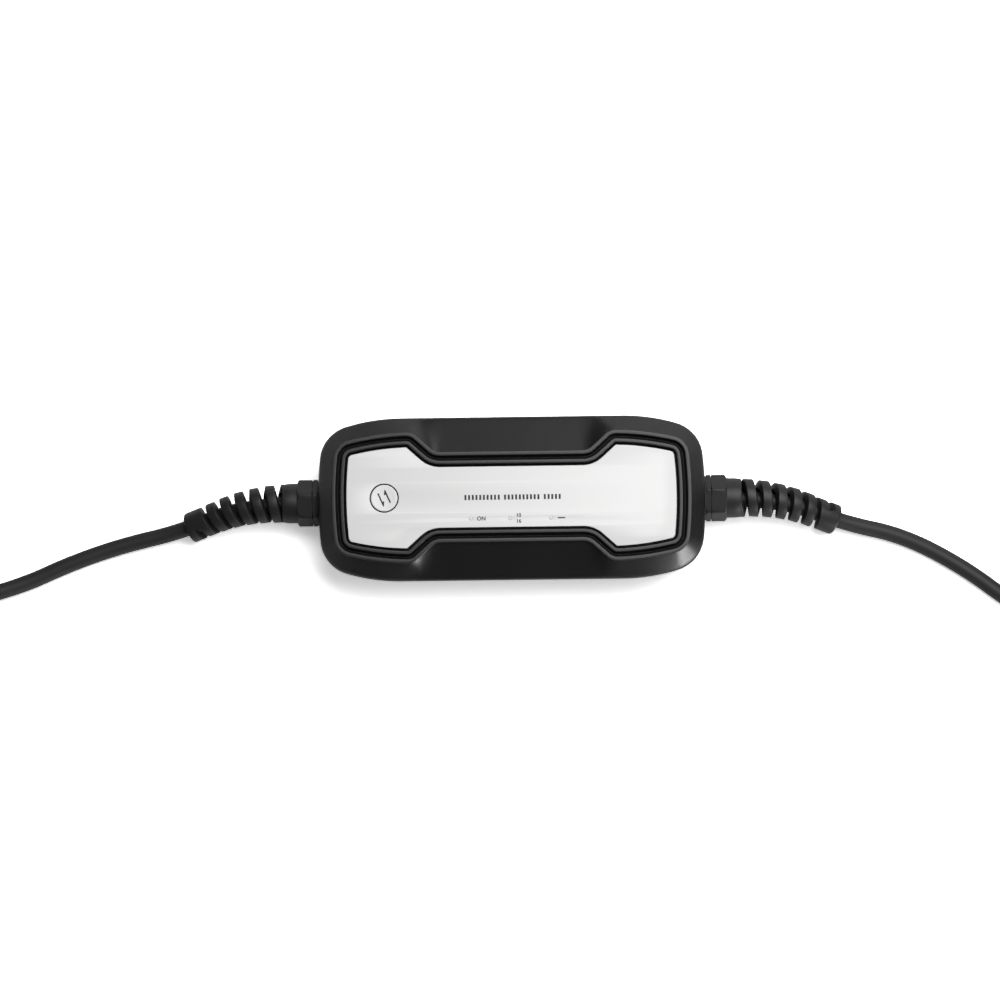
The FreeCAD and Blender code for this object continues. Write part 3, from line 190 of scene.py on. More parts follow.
def coil_points():
    """Turns of a wound coil: in each, radius and height hold and then step to the next turn's by
    the smooth ramp 3t^2 - 2t^3, and the control points stand off by the sag of the spline."""
    count = np.arange(coil_turns * points_a_turn + 1) / points_a_turn
    turn = np.minimum(count.astype(int), coil_turns - 1)
    ramp = np.clip((count - turn - step_from) / (step_to - step_from), 0.0, 1.0)
    ramp = ramp * ramp * (3.0 - 2.0 * ramp)
    radius = (turn_radii[turn] * (1.0 - ramp) + turn_radii[turn + 1] * ramp) / control_reach
    height = turn_heights[turn] * (1.0 - ramp) + turn_heights[turn + 1] * ramp
    angle = 2.0 * math.pi * count - math.pi / 2.0
    return np.column_stack([coil_centre[0] + radius * np.cos(angle),
                            coil_centre[1] + radius * np.sin(angle), height])


charging_start = np.array([
    (0.1226, 0.0, gland_height), (0.1726, 0.0, gland_height), (0.21754, -0.01629, 0.00883),
    (0.2566, -0.0246, 0.0056), (0.297, -0.0465, 0.0053), (0.333, -0.0745, 0.0053),
    (0.371, -0.086, 0.0053), (0.409, -0.088, 0.0053),
])
charging_end = np.array([
    (0.459, -0.088, 0.03675), (0.522, -0.091, 0.0375), (0.587, -0.0895, 0.041), (0.622, -0.054, 0.046),
    (0.622, -0.004, 0.051), (0.587, 0.031, 0.057), (0.539, 0.0315, 0.0594),
])
charging_route = np.vstack([charging_start, coil_points(), charging_end])
charging_lead = lead("charging_lead", charging_route, "charging_cable", "charging_cable_coil",
                     "charging_cable_tail")

# Cover: the upper half of the box, one injection moulding in black polycarbonate with a satin
# spark-eroded grain. Two ridges with rounded shoulders and a groove between them run round the
# plate's pocket, and a sloping flank falls from them to the parting line.
box_half = (126.0, 53.3)
end_bow, box_corner, box_taper, taper_start = 300.0, 24.0, 124.0, 72.0
plate_half = 107.0
plate_bow, plate_corner = 250.0, 3.0
lobe_half, lobe_bow, lobe_apex, lobe_break, lobe_break_radius = 32.9, 170.0, 64.0, 68.4, 1.0
waist_half, shoulder_slope, shoulder_radius = 19.75, math.radians(42.0), 19.0
span_counts = (12, 10, 12, 6, 6, 14, 8)
break_gap, waist_lean = 2.65, math.radians(30.0)
parting, flank_top, pocket_floor, seat, deck_under = 40.0, 53.6, 51.4, 52.8, 50.2
ridge_height, groove_floor = 2.4, 52.2
inner_ridge, outer_ridge, groove_middle = (1.75, 4.15), (7.15, 9.8), 5.65
edge_inset, edge_top, edge_foot = 1.68, 44.864, 41.6
button_x, button_hole = -82.6, 9.5
weld_reach = 2e-6


def arc(centre, radius, start, end, count, bulge=1.0):
    """Points at one distance from a centre between two angles, and the outward directions there."""
    angle = np.linspace(start, end, count + 1)
    ray = np.column_stack([np.cos(angle), np.sin(angle)])
    return np.stack([np.asarray(centre) + radius * ray, bulge * ray])


def straight(start, end, outward, count):
    """Points evenly between two plan points, all with the same outward direction."""
    share = np.linspace(0.0, 1.0, count + 1)[:, None]
    line = np.asarray(start) * (1.0 - share) + np.asarray(end) * share
    return np.stack([line, np.broadcast_to(outward, line.shape)])


def whole_loop(spans):
    """A quarter outline from +X to +Y, mirrored in X and then in Y, its last point its first."""
    quarter = np.concatenate([spans[0]] + [span[:, 1:] for span in spans[1:]], axis=1)
    half = np.concatenate([quarter, (quarter[:, ::-1] * (-1.0, 1.0))[:, 1:]], axis=1)
    return np.concatenate([half, (half[:, ::-1] * (1.0, -1.0))[:, 1:]], axis=1)


def meeting(first, first_reach, second, second_reach):
    """The outer of the two points at given distances from two centres."""
    gap = np.subtract(second, first)
    span = np.hypot(*gap)
    along = (span ** 2 + first_reach ** 2 - second_reach ** 2) / (2.0 * span)
    across = math.sqrt(first_reach ** 2 - along ** 2)
    foot = np.asarray(first) + gap * along / span
    sides = [foot + sign * across * np.array([gap[1], -gap[0]]) / span for sign in (1.0, -1.0)]
    return max(sides, key=lambda point: point[0])


def heading(start, end):
    """Angle of the line from one plan point to another."""
    return math.atan2(end[1] - start[1], end[0] - start[0])


def box_outline():
    """Loop of the box at the parting line: bowed ends, round corners, tapering and straight sides."""
    end_centre, taper_centre = (box_half[0] - end_bow, 0.0), (taper_start, box_half[1] - box_taper)
    corner = meeting(end_centre, end_bow - box_corner, taper_centre, box_taper - box_corner)
    end_angle, taper_angle = heading(end_centre, corner), heading(taper_centre, corner)
    spans = [arc(end_centre, end_bow, 0.0, end_angle, span_counts[0]),
             arc(corner, box_corner, end_angle, taper_angle, span_counts[1]),
             arc(taper_centre, box_taper, taper_angle, math.pi / 2.0, span_counts[2])]
    reach = lobe_break + waist_half / 2.0
    waist_end = lobe_break - (lobe_half - waist_half) / math.tan(waist_lean)
    stations = taper_start * np.array([1.0, (lobe_break - break_gap) / reach,
                                       (lobe_break + waist_end) / 2.0 / reach, waist_end / reach, 0.0])
    for start, end, count in zip(stations, stations[1:], span_counts[3:]):
        spans.append(straight((start, box_half[1]), (end, box_half[1]), (0.0, 1.0), count))
    return whole_loop(spans)


def plate_outline():
    """Loop of the face plate's edge: two bowed lobes joined to a straight waist by slopes."""
    end_centre, side_centre = (plate_half - plate_bow, 0.0), (lobe_apex, lobe_half - lobe_bow)
    corner = meeting(end_centre, plate_bow - plate_corner, side_centre, lobe_bow - plate_corner)
    end_angle, side_angle = heading(end_centre, corner), heading(side_centre, corner)
    break_angle = math.acos((lobe_break - lobe_apex) / lobe_bow)
    reach = lobe_bow - lobe_break_radius
    break_centre = np.add(side_centre, (reach * math.cos(break_angle), reach * math.sin(break_angle)))
    slope = np.array([-math.sin(shoulder_slope), math.cos(shoulder_slope)])
    hollow_y = waist_half + shoulder_radius
    radii = lobe_break_radius + shoulder_radius
    hollow_x = (slope @ break_centre + radii - slope[1] * hollow_y) / slope[0]
    hollow = arc((hollow_x, hollow_y), shoulder_radius, shoulder_slope - math.pi / 2.0, -math.pi / 2.0,
                 span_counts[5], -1.0)
    fillet = arc(break_centre, lobe_break_radius, break_angle, shoulder_slope + math.pi / 2.0,
                 span_counts[3])
    spans = [arc(end_centre, plate_bow, 0.0, end_angle, span_counts[0]),
             arc(corner, plate_corner, end_angle, side_angle, span_counts[1]),
             arc(side_centre, lobe_bow, side_angle, break_angle, span_counts[2]),
             fillet, straight(fillet[0, -1], hollow[0, 0], slope, span_counts[4]), hollow,
             straight(hollow[0, -1], (0.0, waist_half), (0.0, 1.0), span_counts[6])]
    return whole_loop(spans)


def softened(corners, reach, steps=4):
    """The profile with each inner corner replaced by the curve (1-t)^2 a + 2t(1-t) b + t^2 c, where b
    is the corner and a and c lie at the reach before and after it."""
    line = np.asarray(corners, float)
    before, at, after = line[:-2], line[1:-1], line[2:]
    reach = np.reshape(reach, (-1, 1))
    back, ahead = [np.minimum(0.45, reach / np.linalg.norm(other - at, axis=1, keepdims=True))
                   for other in (before, after)]
    a, c = at + (before - at) * back, at + (after - at) * ahead
    t = np.linspace(0.0, 1.0, steps)[:, None, None]
    curve = (1 - t) ** 2 * a + 2 * t * (1 - t) * at + t ** 2 * c
    return np.vstack([line[:1], curve.transpose(1, 0, 2).reshape(-1, 2), line[-1:]])


def carried(loop, profile):
    """Rows of points: the loop moved outwards by each distance of the profile, at each height."""
    rows = loop[0] + profile[:, 0, None, None] * loop[1]
    heights = np.broadcast_to(profile[:, 1, None, None], rows.shape[:2] + (1,))
    return np.concatenate([rows, heights], axis=2)


def ridge_profile(start, end):
    """Flat-topped ridge with rounded shoulders, from its inner foot up, across and down."""
    top = flank_top + ridge_height
    return softened([(start, flank_top), (start, top), (end, top), (end, flank_top)], 0.45, 7)


def finished(name, mesh, material, nodes, body, sharp):
    """A piece from its mesh: rims that meet are merged, which closes seams and poles, the faces are
    turned outwards, and the edges over the sharp angle stay hard."""
    work = bmesh.new()
    work.from_mesh(mesh)
    bmesh.ops.remove_doubles(work, verts=work.verts, dist=weld_reach)
    bmesh.ops.recalc_face_normals(work, faces=work.faces)
    work.to_mesh(mesh)
    work.free()
    mesh.polygons.foreach_set("use_smooth", np.ones(len(mesh.polygons), bool))
    mesh.set_sharp_from_angle(angle=math.radians(sharp))
    return placed(name, mesh, material, nodes, body)


def skin(name, sheets, material, slot, *nodes, body="housing", sharp=35.0):
    """One mesh from sheets of points (rows, columns, xyz) in millimetres, each joined into quads."""
    corners, quads, first = [], [], 0
    for sheet in sheets:
        index = first + np.arange(sheet.shape[0] * sheet.shape[1]).reshape(sheet.shape[:2])
        quad = np.stack([index[:-1, :-1], index[1:, :-1], index[1:, 1:], index[:-1, 1:]], axis=-1)
        quads.append(quad.reshape(-1, 4))
        corners.append(sheet.reshape(-1, 3) / 1000.0)
        first += index.size
    mesh = bpy.data.meshes.new(name)
    mesh.from_pydata(np.vstack(corners).tolist(), [], np.vstack(quads).tolist())
    return finished(name, mesh, material, nodes, body, sharp)


def round_z(radius, angle, height):
    """Points about the Z axis: x = r cos a, y = r sin a, z = height."""
    x, y = radius * np.cos(angle), radius * np.sin(angle)
    return np.stack(np.broadcast_arrays(x, y, height), axis=-1)


def turned(profile, around=72):
    """Surface of revolution: the profile of radii and heights carried once round the Z axis."""
    radius, height = np.asarray(profile, float).T[:, :, None]
    return round_z(radius, np.linspace(0.0, 2.0 * math.pi, around + 1), height)


box_loop, plate_loop = box_outline(), plate_outline()
pocket = softened([(7.8, deck_under), (-4.0, deck_under), (-4.0, seat), (-0.2, seat), (-0.2, pocket_floor),
                   (0.7, pocket_floor - 0.6), (inner_ridge[0], pocket_floor + 0.9),
                   (inner_ridge[0], flank_top)], 0.3)
groove = softened([(inner_ridge[1], flank_top), (groove_middle, groove_floor), (outer_ridge[0], flank_top)],
                  0.2, 5)[1:-1]
rim = carried(plate_loop, np.vstack([pocket, ridge_profile(*inner_ridge)[1:], groove,
                                     ridge_profile(*outer_ridge)]))
slope_top = carried(plate_loop, np.array([[outer_ridge[1], flank_top]]))[0]
slope_end = carried(box_loop, np.array([[-edge_inset, edge_top]]))[0]
share = np.linspace(0.0, 1.0, 13)[1:, None, None]
flank = slope_top * (1.0 - share) + slope_end * share
fall = (flank_top - edge_top) / np.linalg.norm((slope_end - slope_top)[:, :2], axis=1)
edge_corner = carried(box_loop, np.array([[0.0, 0.0]]))[0]
edge_corner[:, 2] = edge_top - edge_inset * fall
edge_end = carried(box_loop, np.array([[0.0, edge_foot]]))[0]
share = np.linspace(0.0, 1.0, 10)[1:, None, None]
edge = (1 - share) ** 2 * slope_end + 2 * share * (1 - share) * edge_corner + share ** 2 * edge_end
skirt = carried(box_loop, softened([(0.0, 41.5), (0.0, parting), (-2.9, parting), (-2.9, edge_foot),
                                    (-3.6, 42.95)], (0.3, 0.2, 0.3)))
button_cup = turned([(button_hole, seat - 0.01), (button_hole, 51.5), (3.08, 51.5), (3.08, 45.4),
                     (5.48, 45.4), (5.48, 50.25), (11.5, 50.25), (11.5, seat - 0.01),
                     (button_hole, seat - 0.01)])
button_cup[..., 0] += button_x
housing_black = moulded("housing_black", (0.0048, 0.0048, 0.005), 0.33, 4200.0, 0.00003, 0.44)
skin("cover_moulding", [np.concatenate([rim, flank, edge, skirt, rim[:1]]), button_cup], housing_black,
     "housing_plastic", "cover")

# Base: the deep lower half, the same moulding material as the cover, with drafted walls, a rounded
# bottom edge and six screw wells from below. It keeps the frame's own shape.
base_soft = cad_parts["base"].modifiers.new("moulded_edges", "BEVEL")
base_soft.width = 0.0004
base_soft.segments = 2
base_soft.angle_limit = math.radians(25.0)
base_soft.harden_normals = True

# Face plate: a flat bone-shaped panel 2 mm thick in the cover's pocket, pale grey with a fine
# brushed finish along its length. Its edge is bevelled, and it is cut with one button hole and three
# small holes for the windows.
plate_top = 54.8
window_xs, window_y, window_hole = (-26.6, -1.2, 25.4), -14.2, 1.23


def brushed(name, colour, roughness, along, across):
    """Finely brushed surface: noise stretched along X gives the grain, a slow one the drift of tone."""
    material, nodes, links, bsdf, place = shader(name, colour, roughness, 0.2)
    stretch = nodes.new("ShaderNodeMapping")
    stretch.inputs["Scale"].default_value = (along, across, across)
    links.new(place, stretch.inputs["Vector"])
    grain = noise(nodes, links, stretch.outputs["Vector"], 1.0, 4.0)
    drift = noise(nodes, links, place, 9.0, 2.0)
    mixed = combined(nodes, links, "MULTIPLY_ADD", grain, 0.45, spread(nodes, links, drift, 0.0, 0.5))
    tinted(nodes, links, bsdf, mixed, colour, 0.95, 1.04)
    links.new(spread(nodes, links, grain, roughness - 0.07, roughness + 0.07), bsdf.inputs["Roughness"])
    embossed(nodes, links, bsdf, grain, 0.25, 0.00002)
    return material


def as_mesh(name, curve):
    """The filled mesh of a flat curve or a text, whose curve is then removed."""
    flat = bpy.data.objects.new(name + "_outline", curve)
    bpy.context.scene.collection.objects.link(flat)
    bpy.context.view_layer.update()
    mesh = bpy.data.meshes.new_from_object(flat.evaluated_get(bpy.context.evaluated_depsgraph_get()))
    bpy.data.objects.remove(flat)
    bpy.data.curves.remove(curve)
    mesh.name = name
    return mesh


def cut_sheet(name, loops, low, high, bevel, material, slot, *nodes, place=None):
    """A sheet cut along plan loops in millimetres, the first its outline and the rest its holes,
    from one height to another with bevelled edges, as a filled flat curve made mesh."""
    curve = bpy.data.curves.new(name, "CURVE")
    curve.dimensions = "2D"
    curve.fill_mode = "BOTH"
    for loop in loops:
        spline = curve.splines.new("POLY")
        spline.points.add(len(loop) - 1)
        spline.points.foreach_set("co", np.column_stack([loop / 1000.0, np.zeros(len(loop)),
                                                         np.ones(len(loop))]).ravel())
        spline.use_cyclic_u = True
    curve.extrude = (high - low) / 2000.0 - bevel / 1000.0
    curve.bevel_depth = bevel / 1000.0
    curve.bevel_resolution = 2
    curve.offset = -bevel / 1000.0
    mesh = as_mesh(name, curve)
    mesh.transform(Matrix.Translation((0.0, 0.0, (low + high) / 2000.0)))
    if place is not None:
        mesh.transform(place)
    return finished(name, mesh, material, nodes, "housing", 30.0)


def circle(x, y, radius, count=64):
    """Plan loop of a round hole or disc."""
    angle = np.arange(count) * 2.0 * math.pi / count
    return np.column_stack([x + radius * np.cos(angle), y + radius * np.sin(angle)])


plate_grey = brushed("plate_grey", (0.75, 0.75, 0.747), 0.4, 60.0, 5200.0)
plate_holes = [circle(button_x, 0.0, button_hole, 96)]
plate_holes += [circle(x, window_y, window_hole, 32) for x in window_xs]
cut_sheet("face_panel", [plate_loop[0][:-1]] + plate_holes, seat, plate_top, 0.22, plate_grey,
          "plate_finish", "face_plate")

# Windows: three milky light pins pushed up through the deck, with domed tops just under the plate's face.
window_milky = moulded("window_milky", (0.66, 0.67, 0.67), 0.3, 3000.0, 0.000005, wave=300.0)
for label, x in zip(("power", "current", "fault"), window_xs):
    pin = turned([(0.0, 48.7), (2.2, 48.7), (2.2, 50.2), (1.2, 50.2), (1.2, 54.45), (1.05, 54.62),
                  (0.6, 54.74), (0.0, 54.78)], 32)
    pin += np.array([x, window_y, 0.0])
    skin(label + "_window", [pin], window_milky, "clear_plastic", label + "_light_pipe")

# Print: a row of plain strokes in the middle and small plain marks beside the windows, screen
# printed in dark grey ink.
ink_thickness = 0.02
ink = moulded("print_ink", (0.04, 0.04, 0.04), 0.5, 6000.0, 0.000004, 0.2, 400.0)


def stroke(points, width, height):
    """A flat printed line: a thin rectangular section carried along plan points, its ends closed."""
    line = np.asarray(points, float)
    way = np.gradient(line, axis=0)
    way /= np.linalg.norm(way, axis=1, keepdims=True)
    side = np.column_stack([-way[:, 1], way[:, 0]]) * np.reshape(width, (-1, 1)) / 2.0
    lift = height(line) if callable(height) else np.full(len(line), height)
    edges = np.stack([line + side, line - side, line - side, line + side, line + side])
    levels = np.stack([lift, lift, lift + ink_thickness, lift + ink_thickness, lift])[..., None]
    tube = np.concatenate([edges, levels], axis=2)
    ends = tube[:4, [0, -1]].mean(axis=0)
    return np.concatenate([np.broadcast_to(ends[:1], (5, 1, 3)), tube,
                           np.broadcast_to(ends[1:], (5, 1, 3))], axis=1)


def lettering(name, text, size, x, y):
    """Plain letters as a flat text made mesh, printed on the plate, centred on a plan point."""
    words = bpy.data.curves.new(name, "FONT")
    words.body = text
    words.size = size / 1000.0
    words.align_x, words.align_y = "LEFT", "CENTER"
    words.extrude = ink_thickness / 2000.0
    words.offset = 0.00009
    mesh = as_mesh(name, words)
    mesh.transform(Matrix.Translation((x / 1000.0, y / 1000.0, (plate_top + ink_thickness / 2.0) / 1000.0)))
    placed(name, mesh, ink)


stroke_pitch, stroke_width, stroke_low, stroke_high = 2.4, 1.3, -2.0, 1.3
label_x, label_lift = 2.8, 1.9
title_strokes = []
for group_start, count in ((-29.9, 10), (-4.2, 10), (21.6, 5)):
    for index in range(count):
        x = group_start + stroke_pitch * index
        title_strokes.append(stroke([(x, stroke_low), (x, stroke_high)], stroke_width, plate_top))
skin("title_strokes", title_strokes, ink, "housing_plastic")
lettering("power_label", "ON", 3.6, -22.6, window_y)
lettering("current_label_upper", "10", 3.3, label_x, window_y + label_lift)
lettering("current_label_lower", "16", 3.3, label_x, window_y - label_lift)
skin("fault_label", [stroke([(29.8, window_y), (34.6, window_y)], 0.8, plate_top)], ink, "housing_plastic")

# Button: a dished round cap level with the plate in a narrow dark gap, moulded in the same pale grey.
# Its stem carries the O-ring and the clip. Two plain arrows are printed in the dish.
cap_radius, dish_radius, dish_depth, stem_radius = 8.65, 7.9, 0.6, 3.0


def dished(share):
    """Height of the dish at a share r/R of its radius, z = top - depth (1 - (r/R)^2)^1.2."""
    return plate_top - dish_depth * (1.0 - share ** 2) ** 1.2


dish_share = np.linspace(0.0, 1.0, 12)
dish = np.column_stack([dish_radius * dish_share, dished(dish_share)])
cap_side = softened([(dish_radius, plate_top), (8.35, plate_top), (cap_radius, plate_top - 0.3),
                     (cap_radius, seat), (stem_radius, seat)], (0.3, 0.3, 0.2))
stem = np.array([(stem_radius, 48.5), (2.58, 48.5), (2.58, 47.4), (stem_radius, 47.4), (stem_radius, 45.05),
                 (2.2, 45.05), (2.2, 44.45), (stem_radius, 44.45), (stem_radius, 43.65), (0.0, 43.65)])
cap = turned(np.vstack([dish, cap_side[1:], stem]), 96)
cap[..., 0] += button_x
button_grey = moulded("button_grey", (0.75, 0.75, 0.747), 0.36, 3000.0, 0.00001, 0.25)
skin("button_moulding", [cap], button_grey, "button_plastic", "button_cap", body="button")


def dish_height(points):
    """Height just above the dish under plan points."""
    share = np.linalg.norm(points - (button_x, 0.0), axis=1) / dish_radius
    return dished(np.minimum(share, 1.0)) + arrow_lift


arrow_strokes = []
lean, arrow_offset, arrow_lift, shaft_width = math.radians(24.0), 2.5, 0.005, 1.15
shaft_ends, tip_ends, tip_widths = (-4.4, 2.2), (1.7, 4.9), (3.7, 0.15)
across, upright = np.array([math.cos(lean), math.sin(lean)]), np.array([-math.sin(lean), math.cos(lean)])
for side in (1.0, -1.0):
    foot = np.array([button_x, 0.0]) + across * arrow_offset * side
    shaft = np.linspace(*shaft_ends, 12)[:, None] * side
    arrow_strokes.append(stroke(foot + shaft * upright, shaft_width, dish_height))
    tip = np.linspace(*tip_ends, 9)[:, None] * side
    arrow_strokes.append(stroke(foot + tip * upright, np.linspace(*tip_widths, 9), dish_height))
skin("button_arrows", arrow_strokes, ink, "housing_plastic", body="button")

# Cable glands: black polyamide. The body's hexagon clamps a rubber washer against the box wall, and
# the nut is one moulding with its dome and the spiral relief that lets the cable bend without a kink.
seat_x, gland_z, flats, corner_share, cone_power = 125.9, 23.5, 27.0, 0.988, 0.8
relief_corner, relief_turn, relief_fall = 22.5, math.radians(26.0), math.radians(42.0)
relief_bow = relief_corner / math.tan(relief_turn / 2.0)
dome_end, wound_length, ring_length, relief_pitch, band_width = 24.2, 52.8, 12.5, 9.65, 6.6
spiral_radius, spiral_bore, radius_fall, bore_fall, run_in, run_out = 12.6, 7.6, 2.6, 1.85, 2.6, 2.0
ring_radius, ring_bore, gap_half, slot_spread, slot_round = 10.1, 5.85, 1.7, 0.7, 0.22
gland_black = moulded("gland_black", (0.0095, 0.0095, 0.01), 0.47, 4200.0, 0.00003, 0.4)


def outwards(points, side):
    """Turn points built along Z so that they stand out of the box's end at +X or -X."""
    return np.stack([side * (seat_x + points[..., 2]), points[..., 1], gland_z - side * points[..., 0]],
                    axis=-1)


def hexagon(low, high, low_chamfer, high_chamfer, hub, turn):
    """Hexagonal collar round a hub: radius = least of flats/2 / cos(a mod 60 - 30) and a cone that
    starts at the flats on each face, for the angle a; its corners are broken."""
    angle = np.radians(np.arange(0.0, 361.0, 3.0))
    within = (np.degrees(angle) % 60.0) - 30.0
    reach = flats / math.sqrt(3.0)
    sides = flats / 2.0 / np.cos(np.radians(within))
    steps = np.linspace(0.0, 1.0, 5)
    height = np.concatenate([low + low_chamfer * steps, high - high_chamfer * steps[::-1]])
    rise = np.concatenate([steps, steps[::-1]]) ** cone_power
    cone = flats / 2.0 - 0.1 + (reach - flats / 2.0) * rise
    radius = np.minimum(np.minimum(sides[None], cone[:, None]), reach * corner_share)
    radius = np.vstack([np.full_like(angle, hub), radius, np.full_like(angle, hub)])
    radius = np.vstack([radius, radius[:1]])
    height = np.concatenate([[low], height, [high], [low]])
    return round_z(radius, angle + math.radians(turn), height[:, None])


def relief_axis(side, along):
    """The relief's axis: an arc of the relief's bow from the dome's end, then a straight, leaning
    down and to the front. Gives the middle, the direction and the inner side at each distance."""
    angle = np.clip(along / relief_bow, 0.0, relief_turn)[..., None]
    outward = np.array([side, 0.0, 0.0])
    inner = np.array([0.0, -math.cos(relief_fall), -math.sin(relief_fall)])
    middle = np.array([side * (seat_x + dome_end), 0.0, gland_z])
    middle = middle + outward * (relief_bow * np.sin(angle) + np.minimum(along, 0.0)[..., None])
    middle = middle + inner * relief_bow * (1.0 - np.cos(angle))
    way = outward * np.cos(angle) + inner * np.sin(angle)
    middle = middle + way * np.maximum(along - relief_bow * relief_turn, 0.0)[..., None]
    return middle, way, inner * np.cos(angle) - outward * np.sin(angle)


def spiral(side, start_turn):
    """The spiral: a rounded band wound right-handed round the relief's axis, a pitch apart, its outer
    and inner radius shrinking evenly to the ring's, its two ends closed."""
    along = np.linspace(-run_in, wound_length + run_out, 216)
    middle, way, inner = relief_axis(side, along)
    share = np.clip(along / wound_length, 0.0, 1.0)
    outer, bore = spiral_radius - radius_fall * share, spiral_bore - bore_fall * share
    turn = 2.0 * math.pi * along / relief_pitch - math.radians(start_turn)
    ray = inner * np.cos(turn)[:, None] + np.cross(way, inner) * np.sin(turn)[:, None]
    half = band_width / 2.0
    section = softened([(0.0, 0.0), (0.0, -half - 0.6), (1.0, -half + 0.3), (1.0, half - 0.3),
                        (0.0, half + 0.6), (0.0, 0.0)], (0.1, 0.36, 0.36, 0.1), 8)
    depth = bore[:, None] + (outer - bore)[:, None] * section[:, 0]
    rows = middle[:, None] + ray[:, None] * depth[..., None] + way[:, None] * section[:, 1][None, :, None]
    heart = rows[[0, -1]].mean(axis=1, keepdims=True)
    rows = np.concatenate([rows, rows[:, :1]], axis=1)
    caps = np.broadcast_to(heart, (2,) + rows.shape[1:])
    return np.concatenate([caps[:1], rows, caps[1:]])


def end_ring(side, start_turn, gap_end):
    """The ring that ends the spiral: a collar carried round the axis. At an angle a past the gap's end
    its front lies at start + (pitch + spread) a / 2 pi, and steps back in a rounded slot at the end."""
    profile = softened([(ring_bore, 0.0), (ring_radius, 0.0), (ring_radius, ring_length),
                        (ring_bore, ring_length), (ring_bore, 0.0)], (0.5, 1.3, 0.3), 6)
    middle, way, inner = relief_axis(side, np.array([wound_length]))
    angle = np.linspace(0.0, 2.0 * math.pi, 289)
    ray = inner[0] * np.cos(angle)[:, None] + np.cross(way[0], inner[0]) * np.sin(angle)[:, None]
    round_once = 2.0 * math.pi
    gap_turn = round_once * (wound_length / relief_pitch - 0.5) - math.radians(start_turn)
    start = relief_pitch * ((math.radians(gap_end) - gap_turn) % round_once / round_once - 1.0) + gap_half
    past = (angle - math.radians(gap_end)) % round_once
    slot_end = np.clip((round_once - past) / slot_round, 0.0, 1.0) ** 0.5
    front = start + (relief_pitch + slot_spread) * past / round_once * slot_end
    reach = profile[:, 1:] + front[None] * (1.0 - profile[:, 1:] / ring_length)
    return middle[0] + ray[None] * profile[:, :1, None] + way[0] * reach[..., None]


nut_profile = softened([(10.55, 4.4), (13.0, 4.4), (13.0, 20.2), (12.4, dome_end), (6.4, dome_end),
                        (6.4, 21.8), (10.55, 15.6), (10.55, 4.4)], (0.3, 2.0, 0.8, 0.4, 0.4, 0.4), 6)
body_profile = [(6.3, -15.6), (10.65, -15.6), (11.25, -15.0), (11.25, 4.1), (10.3, 4.1), (10.3, 13.0),
                (9.1, 14.5), (7.5, 14.5), (7.5, 0.8), (6.3, 0.8), (6.3, -15.6)]
for label, side, nut_turn, start_turn, gap_end in (("left", -1.0, 17.0, 78.0, 118.0),
                                                   ("right", 1.0, -17.0, 0.0, 214.0)):
    nut_sheets = [outwards(hexagon(4.3, 14.4, 0.35, 1.3, 12.6, nut_turn), side),
                  outwards(turned(nut_profile, 96), side),
                  spiral(side, start_turn), end_ring(side, start_turn, gap_end)]
    skin(label + "_gland_nut_moulding", nut_sheets, gland_black, "gland_plastic",
                             label + "_gland_nut", sharp=32.0)
    body_sheets = [outwards(hexagon(0.8, 4.2, 0.35, 0.2, 11.0, nut_turn), side),
                   outwards(turned(body_profile, 64), side)]
    skin(label + "_gland_collar", body_sheets, gland_black, "gland_plastic", label + "_gland_body",
         sharp=32.0)

# Mains plug: a two-pin earthed plug moulded on the cable, lying on its back. Its head is turned with
# a narrower front, its neck is ribbed for grip, and two channels in the front hold the earth strips.
plug_place, neck_end = (-393.0, -69.0), (-349.0, -57.5)
neck_reach = math.hypot(neck_end[0] - plug_place[0], neck_end[1] - plug_place[1])
plug_turn = heading(plug_place, neck_end)
neck_start, neck_height, neck_radius, neck_fall = 14.0, 9.5, 9.0, 1.8
groove_pitch, groove_half, grooved_length = 6.0, 0.9, 20.0
head_radius, head_top, pin_offset = 18.4, 36.0, 9.5
channel_half, channel_low, channel_floor = 2.9, 19.0, 15.9
earth_hole_x, earth_hole_radius, earth_hole_floor = 10.3, 2.6, 21.0
plug_black = moulded("plug_black", (0.009, 0.009, 0.0095), 0.4, 4200.0, 0.00003, 0.4)


def at_plug(points):
    """Points built round the plug's own axis, turned to its cable and moved to where it lies."""
    turn = np.array([[math.cos(plug_turn), math.sin(plug_turn), 0.0],
                     [-math.sin(plug_turn), math.cos(plug_turn), 0.0], [0.0, 0.0, 1.0]])
    return points @ turn + np.array([plug_place[0], plug_place[1], 0.0])


